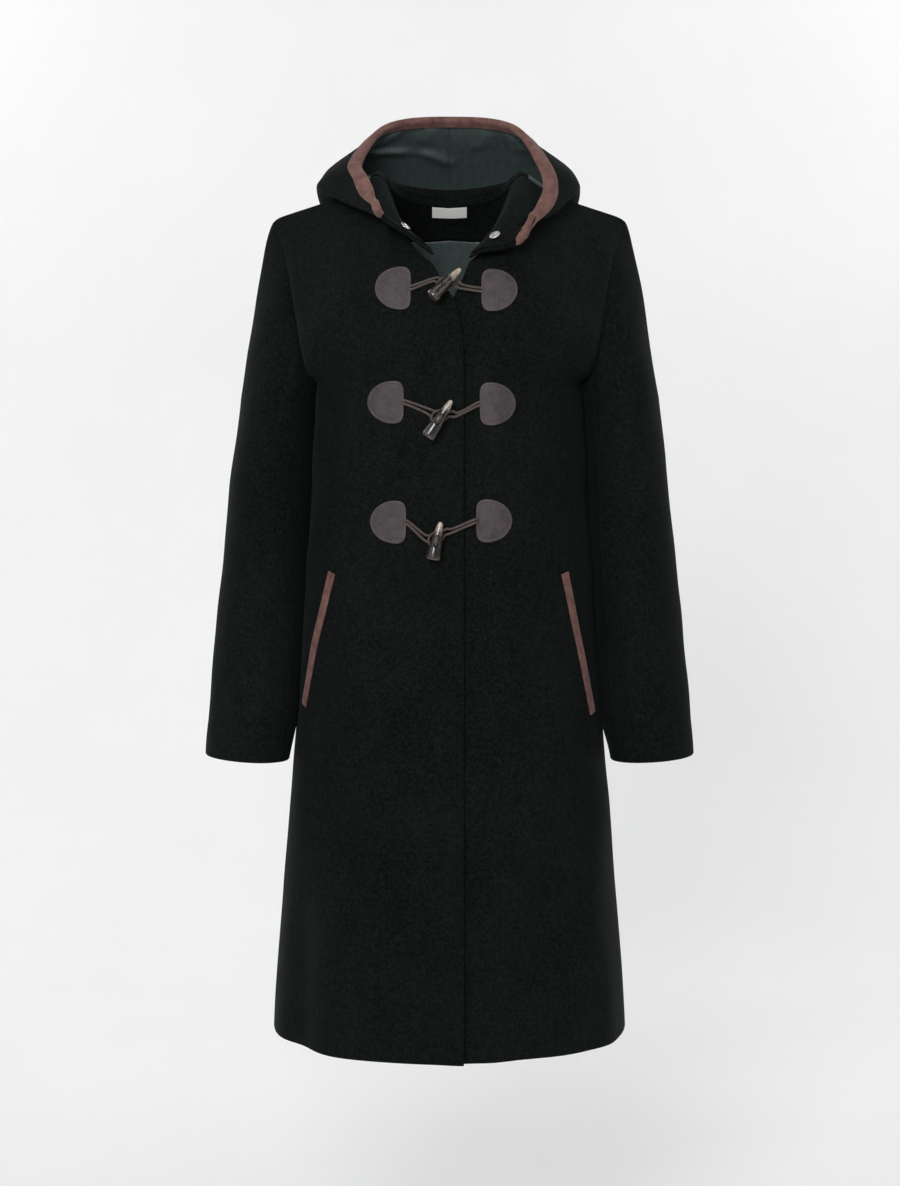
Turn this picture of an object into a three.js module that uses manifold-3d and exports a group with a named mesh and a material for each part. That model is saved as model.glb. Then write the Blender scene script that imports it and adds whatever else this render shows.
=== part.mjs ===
// A knee-length hooded duffle coat in heavy black wool, hollow, filled out as when worn.
// Millimetres, +Z up. The front faces -Y, +X is the viewer's right, and the origin is at the base of the neck.
import * as THREE from 'three';
import { mergeVertices } from 'three/addons/utils/BufferGeometryUtils.js';
import Module from 'manifold-3d';

const wasm = await Module();
wasm.setup();

// Driving sizes
const WOOL = 3;               // melton wool wall
const LINING = 1;             // satin lining, or the wool facing inside the hood and the back neck
const SEAM = 0.4;             // space kept between two layers or two sewn pieces
const HOOD_SPACE = 1;         // the same inside the hood, which bends more tightly
const RING_POWER = 2.2;       // how square the torso sections are; 2 is an ellipse
const ARMPIT_Z = -215;
const HEM_Z = -962;
const HEM_DIP = 7;            // the front edge hangs this much lower than the side seams
const NECK_SHARE = 0.36;      // the share of a panel's top edge that is neckline
const OVERLAP_STEP = 4.2;     // how far the left front passes behind the right one
const DIP_START_X = 58;       // the left front starts to pass behind here
const DIP_END_X = 22;

// Torso sections under the arms: height, half width, depth to the front and to the back
const torsoRows = [
  { z: -962, halfWidth: 205, front: 150, back: 150 },
  { z: -780, halfWidth: 192, front: 142, back: 142 },
  { z: -600, halfWidth: 178, front: 134, back: 132 },
  { z: -420, halfWidth: 167, front: 127, back: 120 },
  { z: -300, halfWidth: 160, front: 126, back: 112 },
  { z: -215, halfWidth: 156, front: 127, back: 112 },
];

// Soft flutes in the skirt: where they are between centre line and side seam, width, depth at the hem, top
const skirtFolds = [
  { panel: 'front', side: -1, share: 0.62, width: 0.10, depth: -6, top: -520 },
  { panel: 'front', side: -1, share: 0.40, width: 0.12, depth: 5, top: -580 },
  { panel: 'front', side: 1, share: 0.24, width: 0.12, depth: -7, top: -560 },
  { panel: 'front', side: 1, share: 0.66, width: 0.10, depth: 4, top: -640 },
  { panel: 'back', side: -1, share: 0.45, width: 0.13, depth: 7, top: -480 },
  { panel: 'back', side: 1, share: 0.38, width: 0.13, depth: 6, top: -520 },
  { panel: 'back', side: 1, share: 0.80, width: 0.10, depth: -4, top: -600 },
];

// Seam lines of the viewer's right half: [x, y, z], from the armpit or the centre outwards
const frontCentreLine = [[0, -127, -215], [0, -125, -170], [0, -118, -128], [0, -106, -90]];
const backCentreLine = [[0, 112, -215], [0, 116, -150], [0, 108, -80], [0, 92, -30], [0, 72, 2]];
const frontNeckline = [[0, -106, -90], [24, -99, -77], [50, -76, -47], [68, -38, -8], [75, 0, 20]];
const backNeckline = [[0, 72, 2], [34, 66, 5], [60, 42, 11], [75, 0, 20]];
const shoulderSeam = [[75, 0, 20], [118, 1, 7], [160, 1, -7], [196, 0, -19], [206, 0, -25]];
const frontArmhole = [
  [156, 0, -215], [163, -38, -206], [170, -52, -180], [177, -46, -140], [190, -26, -72], [206, 0, -25],
];
const backArmhole = [
  [156, 0, -215], [163, 40, -205], [169, 58, -175], [177, 54, -130], [190, 32, -68], [206, 0, -25],
];

// How far the two front edges are past the centre line, from the armpit's height up to the neck
const rightEdgeX = [[15.8], [15.5], [12], [2], [-18]];
const leftEdgeX = [[-25], [-24], [-14], [6], [22]];

// Sleeve sections: height, outer and inner edge, middle and half of the depth
const sleeveRows = [
  { z: -652, outer: 282, inner: 188, y: -25, halfDepth: 50 },
  { z: -604, outer: 279, inner: 185, y: -22, halfDepth: 51 },
  { z: -540, outer: 275, inner: 182, y: -17, halfDepth: 53 },
  { z: -460, outer: 268, inner: 178, y: -11, halfDepth: 56 },
  { z: -380, outer: 261, inner: 173, y: -5, halfDepth: 60 },
  { z: -300, outer: 253, inner: 169, y: 0, halfDepth: 64 },
  { z: -232, outer: 244, inner: 165, y: 2, halfDepth: 68 },
];
const CUFF_Z = -652;
const CAP_Z = -232;           // the sleeve cap rises from here to the armhole
const CUFF_TILT = 3.5;        // the cuff's inner edge is lower than its middle by this
const UNDER_FRONT_TURN = 0.38;
const UNDER_BACK_TURN = 0.66;

// Hood: a row for each ring from the neck seam to the face edge, a column for each station round the neck.
// Back, back-side and side are the same on both sides of the coat; the front stations are not.
const hoodRings = [
  { ring: 'neck seam', back: [0, 73.5, 6], backSide: [57, 48, 15], side: [75, -1, 24],
    leftFront: [68, -38, -8], leftCorner: [51, -77, -43], leftEnd: [19, -102, -70],
    rightFront: [68, -38, -8], rightCorner: [51, -77, -43], rightEnd: [23, -103, -74] },
  { ring: 'top of the stand', back: [0, 82, 24], backSide: [65, 56, 30], side: [84, 0, 38],
    leftFront: [78, -49, 3], leftCorner: [56, -91, -37], leftEnd: [34, -111, -61],
    rightFront: [78, -49, 3], rightCorner: [57, -92, -41], rightEnd: [36, -112, -70] },
  { ring: 'lying layer', back: [0, 108, -10], backSide: [88, 76, 10], side: [113, 4, 18],
    leftFront: [93, -58, -4], leftCorner: [66, -99, -36], leftEnd: [50, -113, -50],
    rightFront: [94, -59, -8], rightCorner: [69, -101, -45], rightEnd: [51, -115, -68] },
  { ring: 'fold underneath', back: [0, 134, -98], backSide: [110, 108, -58], side: [137, 8, 4],
    leftFront: [109, -57, -12], leftCorner: [78, -99, -31], leftEnd: [64, -112, -41],
    rightFront: [113, -60, -19], rightCorner: [82, -104, -46], rightEnd: [65, -114, -65] },
  { ring: 'fold outside', back: [0, 166, -104], backSide: [126, 130, -42], side: [154, 3, 12],
    leftFront: [123, -50, -5], leftCorner: [86, -93, -21], leftEnd: [74, -109, -34],
    rightFront: [126, -55, -15], rightCorner: [90, -102, -41], rightEnd: [73, -114, -62] },
  { ring: 'standing layer', back: [0, 168, -10], backSide: [130, 92, 36], side: [143, -8, 30],
    leftFront: [119, -45, 11], leftCorner: [89, -86, -12], leftEnd: [80, -104, -27],
    rightFront: [129, -52, -5], rightCorner: [96, -97, -34], rightEnd: [80, -111, -57] },
  { ring: 'face edge', back: [0, 66, 95], backSide: [80, 44, 86], side: [115, -12, 42],
    leftFront: [104, -50, 19], leftCorner: [91, -79, -4], leftEnd: [85, -97, -20],
    rightFront: [121, -55, 6], rightCorner: [101, -91, -26], rightEnd: [86, -107, -52] },
];
const BINDING_WIDTH = 13;
const BINDING_THICKNESS = 1.2;
const BINDING_SPACE = 1;      // space between the binding's leaves and the edge that they fold round

// Toggle closures: middles of the leather patches, and the two ends of the horn toggle
const toggleRows = [
  { name: 'top', left: [-62.9, -110], right: [55.6, -112], base: [-21, -128], tip: [11, -92] },
  { name: 'middle', left: [-70.7, -237], right: [53.4, -239], base: [-24, -276], tip: [3, -235] },
  { name: 'bottom', left: [-68, -371], right: [49.5, -369.5], base: [-18, -412], tip: [-9, -370] },
];
const PATCH_HALF_WIDTH = 20;
const PATCH_HALF_HEIGHT = 24;
const PATCH_THICKNESS = 2;
const CORD_RADIUS = 1.7;
const CORD_SIDES = 5;
const CORD_LIFT = 2.5;        // middle of a cord that lies on the cloth
const LOOP_LIFT = 6.7;        // middle of the loop where it passes over the other cord
const BRIDGE_X = 29;          // left of this, cords lie on the right front, not on the left one
const TOGGLE_LIFT = 15;       // middle of the toggle above the cloth
const TOGGLE_HOLE_OFFSET = 4.6;
const TOGGLE_HOLE_RADIUS = 2.4;
const TOGGLE_PROFILE = [      // share of the length from the base to the tip, radius
  [0, 0], [0, 5.2], [0.03, 6], [0.3, 5.8], [0.55, 5], [0.8, 3.7], [0.94, 2.8], [1, 1.6], [1, 0],
];

// Pocket welts: where both ends are between centre line and side seam, and their heights
const pocketRows = [
  { name: 'pocket_welt_right', side: -1, top: [0.562, -430], bottom: [0.765, -584] },
  { name: 'pocket_welt_left', side: 1, top: [0.545, -430], bottom: [0.72, -592] },
];
const WELT_WIDTH = 12;
const WELT_THICKNESS = 1.6;
const WELT_QUARTER_ARC = 235; // length of a quarter of the torso section at the pockets

// Snap halves inside the hood's front corners, and the woven label
const snapRows = [
  { name: 'snap_right', round: 0.06, up: 0.25 },
  { name: 'snap_left', round: 0.945, up: 0.24 },
];
const SNAP_RADIUS = 6.5;
const LABEL_WIDTH = 42;
const LABEL_HEIGHT = 14;

const mix = (a, b, t) => a + (b - a) * t;
const addPoint = (a, b, scale = 1) => a.map((value, i) => value + b[i] * scale);
const clamp01 = (t) => Math.min(1, Math.max(0, t));
const smooth = (t) => clamp01(t) ** 2 * (3 - 2 * clamp01(t));
const mirrored = (point, side) => [point[0] * side, point[1], point[2]];

// A smooth curve through points, uniform in t from 0 to 1 (Catmull-Rom, straight on past its ends).
function spline(points, t) {
  const last = points.length - 1;
  const at = Math.min(last, Math.max(0, t * last));
  const i = Math.min(last - 1, Math.floor(at));
  const f = at - i;
  const b = points[i];
  const c = points[i + 1];
  const a = i > 0 ? points[i - 1] : b.map((p, k) => 2 * p - c[k]);
  const d = i + 2 <= last ? points[i + 2] : c.map((p, k) => 2 * p - b[k]);
  const weightB = 2 * f ** 3 - 3 * f ** 2 + 1;
  const slopeB = (f ** 3 - 2 * f ** 2 + f) / 2;
  const slopeC = (f ** 3 - f ** 2) / 2;
  return b.map((p, k) => weightB * p + (1 - weightB) * c[k] + slopeB * (c[k] - a[k]) + slopeC * (d[k] - p));
}

// The same through points at uneven distances, without swinging out between them.
function unevenSpline(points, t) {
  const last = points.length - 1;
  const at = Math.min(last, Math.max(0, t * last));
  const i = Math.min(last - 1, Math.floor(at));
  const f = at - i;
  const b = points[i];
  const c = points[i + 1];
  const a = i > 0 ? points[i - 1] : b.map((p, k) => 2 * p - c[k]);
  const d = i + 2 <= last ? points[i + 2] : c.map((p, k) => 2 * p - b[k]);
  const span = (from, to) => Math.sqrt(Math.hypot(...from.map((p, k) => to[k] - p)));
  const [before, own, after] = [span(a, b), span(b, c), span(c, d)];
  const weightB = 2 * f ** 3 - 3 * f ** 2 + 1;
  return b.map((p, k) => {
    const rise = c[k] - p;
    const slopeB = ((p - a[k]) / before * own ** 2 + rise * before) / (before + own);
    const slopeC = ((d[k] - c[k]) / after * own ** 2 + rise * after) / (after + own);
    return weightB * p + (1 - weightB) * c[k] + (f ** 3 - 2 * f ** 2 + f) * slopeB + (f ** 3 - f ** 2) * slopeC;
  });
}

// The sizes of a table at a height, smooth between its rows, which run upwards.
function sectionAt(rows, keys, z) {
  const last = rows.length - 1;
  let i = 0;
  while (i < last - 1 && z > rows[i + 1].z) i += 1;
  const f = clamp01((z - rows[i].z) / (rows[i + 1].z - rows[i].z));
  const near = [rows[Math.max(0, i - 1)], rows[i], rows[i + 1], rows[Math.min(last, i + 2)]];
  return spline(near.map((row) => keys.map((key) => row[key])), (1 + f) / 3);
}

// Torso. A half panel runs from the centre line, share 0, to the side seam or armhole, share 1.
function ringPoint(panel, share, z) {
  const [halfWidth, depth] = sectionAt(torsoRows, ['halfWidth', panel], z);
  const angle = share * Math.PI / 2;
  const forward = panel === 'front' ? -1 : 1;
  return [
    halfWidth * Math.abs(Math.sin(angle)) ** (2 / RING_POWER),
    forward * depth * Math.abs(Math.cos(angle)) ** (2 / RING_POWER),
    z,
  ];
}

function foldDepth(panel, side, share, z) {
  let depth = 0;
  for (const fold of skirtFolds) {
    if (fold.panel !== panel || fold.side !== side) continue;
    const fall = smooth((fold.top - z) / (fold.top - HEM_Z));
    depth += fold.depth * fall * Math.exp(-(((share - fold.share) / fold.width) ** 2));
  }
  return depth;
}

function topLine(panel, share) {
  const neckline = panel === 'front' ? frontNeckline : backNeckline;
  if (share < NECK_SHARE) return spline(neckline, share / NECK_SHARE);
  return spline(shoulderSeam, (share - NECK_SHARE) / (1 - NECK_SHARE));
}

const armpitCorners = { front: ringPoint('front', 1, ARMPIT_Z), back: ringPoint('back', 1, ARMPIT_Z) };
const armpitCentres = { front: ringPoint('front', 0, ARMPIT_Z), back: ringPoint('back', 0, ARMPIT_Z) };

// The yoke above the armpits: a patch between four seam lines that rounds over to the shoulder.
function yokePoint(panel, share, rise) {
  const angle = rise * Math.PI / 2;
  const blend = [rise ** 2 * (1.6 - 0.6 * rise), mix(rise ** 2, 1 - Math.cos(angle), share), Math.sin(angle)];
  const bottom = ringPoint(panel, share, ARMPIT_Z);
  const top = topLine(panel, share);
  const centre = spline(panel === 'front' ? frontCentreLine : backCentreLine, rise);
  const arm = spline(panel === 'front' ? frontArmhole : backArmhole, rise);
  const centreTop = topLine(panel, 0);
  const armTop = topLine(panel, 1);
  return [0, 1, 2].map((k) => mix(bottom[k], top[k], blend[k])
    + (1 - share) * (centre[k] - mix(armpitCentres[panel][k], centreTop[k], blend[k]))
    + share * (arm[k] - mix(armpitCorners[panel][k], armTop[k], blend[k])));
}

// level runs from 0 at the hem to 1 at the armpit and 2 at the shoulder; side is -1 or 1.
function torsoPoint(panel, side, share, level) {
  if (share < 0) return torsoPoint(panel, -side, -share, level);
  if (level > 1) return mirrored(yokePoint(panel, share, level - 1), side);
  const z = mix(HEM_Z, ARMPIT_Z, level);
  const point = ringPoint(panel, share, z);
  const outward = 1 + foldDepth(panel, side, share, z) / Math.hypot(point[0], point[1]);
  const dip = panel === 'front' ? HEM_DIP * (1 - share) * (1 - level) ** 3 : 0;
  return mirrored([point[0] * outward, point[1] * outward, z - dip], side);
}

// A unit normal from a surface's slopes at (a, b), pointing away from the given middle.
function normalOf(surface, a, b, low, high, middle) {
  const step = 2e-3;
  const a0 = Math.max(low[0], a - step);
  const a1 = Math.min(high[0], a + step);
  const b0 = Math.max(low[1], b - step);
  const b1 = Math.min(high[1], b + step);
  const along = new THREE.Vector3(...surface(a1, b)).sub(new THREE.Vector3(...surface(a0, b)));
  const up = new THREE.Vector3(...surface(a, b1)).sub(new THREE.Vector3(...surface(a, b0)));
  const normal = along.cross(up).normalize();
  const outward = new THREE.Vector3(...surface(a, b)).sub(new THREE.Vector3(...middle));
  return (normal.dot(outward) < 0 ? normal.negate() : normal).toArray();
}

// A torso point moved out by a distance. At side and shoulder seams both panels share one normal.
function torsoAt(panel, side, share, level, out) {
  const surface = (a, b) => torsoPoint(panel, side, a, b);
  const point = surface(share, level);
  if (out === 0) return point;
  const middle = [0, 0, Math.min(point[2], -60) - 20];
  const normal = normalOf(surface, share, level, [-1, 0], [1, 2], middle);
  const nearSeam = level > 1
    ? smooth((level - 1.8) / 0.19) * smooth((Math.abs(share) - NECK_SHARE + 0.08) / 0.08)
    : smooth((Math.abs(share) - 0.93) / 0.06);
  normal[1] *= 1 - nearSeam;
  return addPoint(point, normal, out / Math.hypot(...normal));
}

// The share at which a torso section crosses an x, by halving.
function shareAtX(panel, side, x, level) {
  let low = side * x < 0 ? -0.4 : 0;
  let high = side * x < 0 ? 0 : 1;
  for (let i = 0; i < 22; i += 1) {
    const middle = (low + high) / 2;
    if (side * (torsoPoint(panel, side, middle, level)[0] - x) < 0) low = middle;
    else high = middle;
  }
  return (low + high) / 2;
}

const passBehind = (x) => OVERLAP_STEP * smooth((DIP_START_X - x) / (DIP_START_X - DIP_END_X));

// A point of a front panel: across runs from its edge, 0, to the side seam, 1.
function frontAt(side, across, level, out) {
  const edgeX = spline(side < 0 ? rightEdgeX : leftEdgeX, Math.max(0, level - 1))[0];
  const share = mix(shareAtX('front', side, edgeX, level), 1, across);
  const point = torsoAt('front', side, share, level, out);
  if (side > 0) point[1] += passBehind(point[0]);
  return point;
}

// A point over the front of the coat, found by its x and z, for what is sewn on there.
function overFront(x, z, out) {
  const side = x < 0 ? -1 : 1;
  let low = 0;
  let high = 2;
  for (let i = 0; i < 20; i += 1) {
    const level = (low + high) / 2;
    if (torsoPoint('front', side, shareAtX('front', side, x, level), level)[2] < z) low = level;
    else high = level;
  }
  const point = torsoAt('front', side, shareAtX('front', side, x, low), low, out);
  if (x > BRIDGE_X) point[1] += passBehind(point[0]);
  return point;
}

// Sleeves: turn runs round from the outside, 0, to the front, 0.25, and the inside, 0.5; fall goes down.
function sleeveRing(turn, z) {
  const [outer, inner, y, halfDepth] = sectionAt(sleeveRows, ['outer', 'inner', 'y', 'halfDepth'], z);
  const angle = turn * 2 * Math.PI;
  const tilt = CUFF_TILT * (Math.cos(angle) - 1) * clamp01((CAP_Z - z) / (CAP_Z - CUFF_Z));
  return [(outer + inner) / 2 + (outer - inner) / 2 * Math.cos(angle), y - halfDepth * Math.sin(angle), z + tilt];
}

function armholePoint(turn) {
  const round = ((turn % 1) + 1) % 1;
  const point = round < 0.5 ? spline(frontArmhole, 1 - round * 2) : spline(backArmhole, round * 2 - 1);
  return [point[0] + 1, point[1], point[2]];
}

const CAP_FALL = 0.3;         // the share of the sleeve's rows that is the cap
function sleevePoint(side, turn, fall) {
  if (fall > CAP_FALL) {
    return mirrored(sleeveRing(turn, mix(CAP_Z, CUFF_Z, (fall - CAP_FALL) / (1 - CAP_FALL))), side);
  }
  const start = armholePoint(turn);
  const end = sleeveRing(turn, CAP_Z);
  const bend = [mix(start[0], end[0], 0.27), mix(start[1], end[1], 0.5), mix(start[2], end[2], 0.04)];
  const t = fall / CAP_FALL;
  return mirrored(start.map((p, k) => (1 - t) ** 2 * p + 2 * t * (1 - t) * bend[k] + t * t * end[k]), side);
}

function sleeveAt(side, turn, fall, out) {
  const surface = (a, b) => sleevePoint(side, a, b);
  const point = surface(turn, fall);
  if (out === 0) return point;
  const core = sleeveRing(0, Math.min(CAP_Z, point[2]));
  const inside = sleeveRing(0.5, Math.min(CAP_Z, point[2]));
  const middle = [side * (core[0] + inside[0]) / 2, (core[1] + inside[1]) / 2, Math.min(point[2], -190)];
  return addPoint(point, normalOf(surface, turn, fall, [-1, 0], [2, 1], middle), out);
}

// Hood: round runs from the wearer's right front end, 0, over the centre back, 0.5, to the left, 1.
const hoodStations = hoodRings.map((row) => [
  ...['leftEnd', 'leftCorner', 'leftFront', 'side', 'backSide'].map((key) => mirrored(row[key], -1)),
  ...['back', 'backSide', 'side', 'rightFront', 'rightCorner', 'rightEnd'].map((key) => row[key]),
]);

const HOOD_SLOPE_REACH = 0.2; // slopes are taken this far to both sides, so that layers don't cross in a bend

const hoodPoint = (round, up) => unevenSpline(hoodStations.map((stations) => unevenSpline(stations, round)), up);

function hoodAt(round, up, out) {
  const point = hoodPoint(round, up);
  if (out === 0) return point;
  const step = HOOD_SLOPE_REACH;
  const slope = (r0, u0, r1, u1) => new THREE.Vector3(...hoodPoint(r1, u1))
    .sub(new THREE.Vector3(...hoodPoint(r0, u0)));
  const along = slope(Math.max(0, round - step), up, Math.min(1, round + step), up);
  const rising = slope(round, Math.max(0, up - step), round, Math.min(1, up + step));
  return addPoint(point, rising.cross(along).normalize().toArray(), out);
}

// A closed wall between two offsets of a sheet, which is a function of u, v and the offset.
// uSteps and vSteps are the numbers of cells, or the lists of the places of the cell lines.
// Where flipped(u, v) holds, cells are halved by their other diagonal.
function wallGeometry(sheet, uSteps, vSteps, offsets, flipped = () => false) {
  const lines = (steps) => (Array.isArray(steps) ? steps : Array.from({ length: steps + 1 }, (_, i) => i / steps));
  const us = lines(uSteps);
  const vs = lines(vSteps);
  const positions = offsets.flatMap((out) => vs.flatMap((v) => us.flatMap((u) => sheet(u, v, out))));
  const indices = [];
  const index = (face, i, j) => (face * vs.length + j) * us.length + i;
  const quad = (a, b, c, d) => indices.push(a, b, c, a, c, d);
  const lastU = us.length - 1;
  const lastV = vs.length - 1;
  for (let j = 0; j < lastV; j += 1) {
    for (let i = 0; i < lastU; i += 1) {
      const flip = flipped(us[i], vs[j]);
      const near = [index(0, i, j), index(0, i + 1, j), index(0, i + 1, j + 1), index(0, i, j + 1)];
      const far = [index(1, i, j), index(1, i, j + 1), index(1, i + 1, j + 1), index(1, i + 1, j)];
      quad(...(flip ? [...near.slice(1), near[0]] : near));
      quad(...(flip ? [...far.slice(1), far[0]] : far));
    }
    quad(index(0, 0, j), index(0, 0, j + 1), index(1, 0, j + 1), index(1, 0, j));
    quad(index(1, lastU, j), index(1, lastU, j + 1), index(0, lastU, j + 1), index(0, lastU, j));
  }
  for (let i = 0; i < lastU; i += 1) {
    quad(index(1, i, 0), index(1, i + 1, 0), index(0, i + 1, 0), index(0, i, 0));
    quad(index(0, i, lastV), index(0, i + 1, lastV), index(1, i + 1, lastV), index(1, i, lastV));
  }
  const geometry = new THREE.BufferGeometry();
  geometry.setAttribute('position', new THREE.Float32BufferAttribute(positions, 3));
  geometry.setIndex(indices);
  if (signedVolume(geometry) < 0) geometry.setIndex(indices.reverse());
  return geometry;
}

function signedVolume(geometry) {
  const position = geometry.getAttribute('position');
  const corner = (i) => new THREE.Vector3().fromBufferAttribute(position, geometry.index.getX(i));
  let volume = 0;
  for (let i = 0; i < geometry.index.count; i += 3) {
    volume += corner(i).dot(corner(i + 1).cross(corner(i + 2))) / 6;
  }
  return volume;
}

const coat = new THREE.Group();
const wool = { color: 0x0d1011, roughness: 0.95, metalness: 0 };
const satin = { color: 0x1b2726, roughness: 0.5, metalness: 0 };
const suede = { color: 0x6b443e, roughness: 0.9, metalness: 0 };
const leather = { color: 0x433a3e, roughness: 0.55, metalness: 0 };
const waxedCord = { color: 0x4a3f3a, roughness: 0.9, metalness: 0 };
const horn = { color: 0x2a211b, roughness: 0.25, metalness: 0 };
const nickel = { color: 0xc9c4b8, roughness: 0.3, metalness: 1 };
const whiteTape = { color: 0xe9e6e0, roughness: 0.8, metalness: 0 };

function addMesh(name, geometry, finish) {
  const mesh = new THREE.Mesh(geometry, new THREE.MeshStandardMaterial(finish));
  mesh.name = name;
  coat.add(mesh);
  return mesh;
}

// A part of a sheet, so that a sewn edge keeps its space to its neighbour.
const cut = (sheet, u0, u1, v0, v1) => (u, v, out) => sheet(mix(u0, u1, u), mix(v0, v1, v), out);

const WALL = [0, -WOOL];
const BODY_INSIDE = [-WOOL - SEAM, -WOOL - SEAM - LINING];
const SEAM_TRIM = 0.0015;     // of a panel's width
const PANEL_LINES = Array.from({ length: 11 }, (_, i) => i / 10 * (1 - SEAM_TRIM));
const FRONT_LINES = [0, 0.05, 0.1, 0.15, 0.2, 0.25, 0.3, 0.36, 0.43, 0.52, 0.62, 0.74, 0.87, 1 - SEAM_TRIM];
const BACK_LINES = [...PANEL_LINES.slice(1).map((share) => -share).reverse(), ...PANEL_LINES];
const SKIRT_LEVELS = [0, 0.05, 0.17, 0.3, 0.43, 0.56, 0.7, 0.85, 1];
const YOKE_LEVELS = [1.12, 1.26, 1.42, 1.56, 1.7, 1.82, 1.92, 1.98, 1.997];
const LEVELS = [...SKIRT_LEVELS, ...YOKE_LEVELS];
const LINING_TOP = 1.7;       // the back lining meets the neck facing at this level

function addBody() {
  for (const [name, side] of [['front_right', -1], ['front_left', 1]]) {
    const panel = (u, v, out) => frontAt(side, u, v, out);
    addMesh(name, wallGeometry(panel, FRONT_LINES, LEVELS, WALL), wool);
  }
  const back = (u, v, out) => torsoAt('back', 1, u, v, out);
  addMesh('back', wallGeometry(back, BACK_LINES, LEVELS, WALL), wool);
  const insideLines = BACK_LINES.slice(1, -1);
  const lining = LEVELS.filter((level) => level > 0 && level < LINING_TOP);
  addMesh('back_lining', wallGeometry(back, insideLines, [...lining, LINING_TOP - 0.004], BODY_INSIDE), satin);
  const facing = LEVELS.filter((level) => level > LINING_TOP && level < 1.99);
  addMesh('back_neck_facing', wallGeometry(back, insideLines, [LINING_TOP + 0.004, ...facing], BODY_INSIDE), wool);
}

function addSleeves() {
  const trim = 0.0012;
  for (const [name, side] of [['right', -1], ['left', 1]]) {
    const sleeve = (u, v, out) => sleeveAt(side, u, v, out);
    const upper = cut(sleeve, UNDER_BACK_TURN - 1 + trim, UNDER_FRONT_TURN - trim, 0, 1);
    const under = cut(sleeve, UNDER_FRONT_TURN + trim, UNDER_BACK_TURN - trim, 0, 1);
    const falls = [0, 0.05, 0.11, 0.17, 0.235, 0.3, 0.4, 0.52, 0.64, 0.76, 0.88, 1];
    addMesh(`upper_sleeve_${name}`, wallGeometry(upper, 14, falls, WALL), wool);
    addMesh(`under_sleeve_${name}`, wallGeometry(under, 5, falls, WALL), wool);
  }
}

const HOOD_INSIDE = [-WOOL - HOOD_SPACE, -WOOL - HOOD_SPACE - LINING];
const LINING_START = 0.2;     // the satin begins this far round from a front end
const FACING_TOP = 0.22;      // and this far up from the neck seam
const BINDING_LINE = 0.93;    // above this line the suede binding lies on both sides
const HALF_ROUNDS = [
  0, 0.035, 0.07, 0.1, 0.15, LINING_START, 0.235, 0.27, 0.3, 0.335, 0.37, 0.4, 0.44, 0.47, 0.4992,
];
const OTHER_ROUNDS = HALF_ROUNDS.map((round) => 1 - round).reverse();
const ALL_ROUNDS = [...HALF_ROUNDS.slice(0, -1), 0.5, ...OTHER_ROUNDS.slice(1)];
const UPS = [
  0, 0.06, 0.11, 0.165, FACING_TOP, 0.27, 0.32, 0.38, 0.43, 0.48, 0.53, 0.58, 0.64, 0.71, 0.78, 0.86,
  BINDING_LINE, 1,
];

// How far below the face edge, as a share of the hood's height, the binding's edge is.
function bindingShare(round) {
  const edge = new THREE.Vector3(...hoodPoint(round, 1));
  let low = 0.5;
  let high = 1;
  for (let i = 0; i < 16; i += 1) {
    const middle = (low + high) / 2;
    if (edge.distanceTo(new THREE.Vector3(...hoodPoint(round, middle))) > BINDING_WIDTH) low = middle;
    else high = middle;
  }
  return 1 - high;
}

// A hood point on the grid that all its layers share: the top row of cells is as high as the binding.
function hoodLayer(round, line, out) {
  const share = bindingShare(round);
  const up = line < BINDING_LINE
    ? line / BINDING_LINE * (1 - share)
    : mix(1 - share, 1, (line - BINDING_LINE) / (1 - BINDING_LINE));
  return hoodAt(round, up, out);
}

const onLeft = (round) => round >= 0.5;

function addHood() {
  const between = (lines, low, high) => lines.filter((line) => line > low + 1e-6 && line < high - 1e-6);
  for (const [name, rounds] of [['right', HALF_ROUNDS], ['left', OTHER_ROUNDS]]) {
    addMesh(`hood_${name}`, wallGeometry(hoodLayer, rounds, UPS, WALL, onLeft), wool);
    const lined = between(rounds, LINING_START, 1 - LINING_START);
    const lining = name === 'right' ? [LINING_START + 0.008, ...lined] : [...lined, 1 - LINING_START - 0.008];
    const above = [FACING_TOP + 0.004, ...between(UPS, FACING_TOP, 2)];
    addMesh(`hood_lining_${name}`, wallGeometry(hoodLayer, lining, above, HOOD_INSIDE, onLeft), satin);
    const corner = between(rounds, -1, LINING_START).concat(between(rounds, 1 - LINING_START, 2));
    const facing = name === 'right' ? [...corner, LINING_START] : [1 - LINING_START, ...corner];
    const low = [0.012, ...between(UPS, 0, 2)];
    addMesh(`hood_facing_${name}`, wallGeometry(hoodLayer, facing, low, HOOD_INSIDE, onLeft), wool);
  }
  const lined = between(ALL_ROUNDS, LINING_START, 1 - LINING_START);
  const band = [LINING_START + 0.008, ...lined, 1 - LINING_START - 0.008];
  const low = [0.012, ...between(UPS, 0, FACING_TOP), FACING_TOP];
  addMesh('hood_facing_back', wallGeometry(hoodLayer, band, low, HOOD_INSIDE, onLeft), wool);
}

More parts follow.
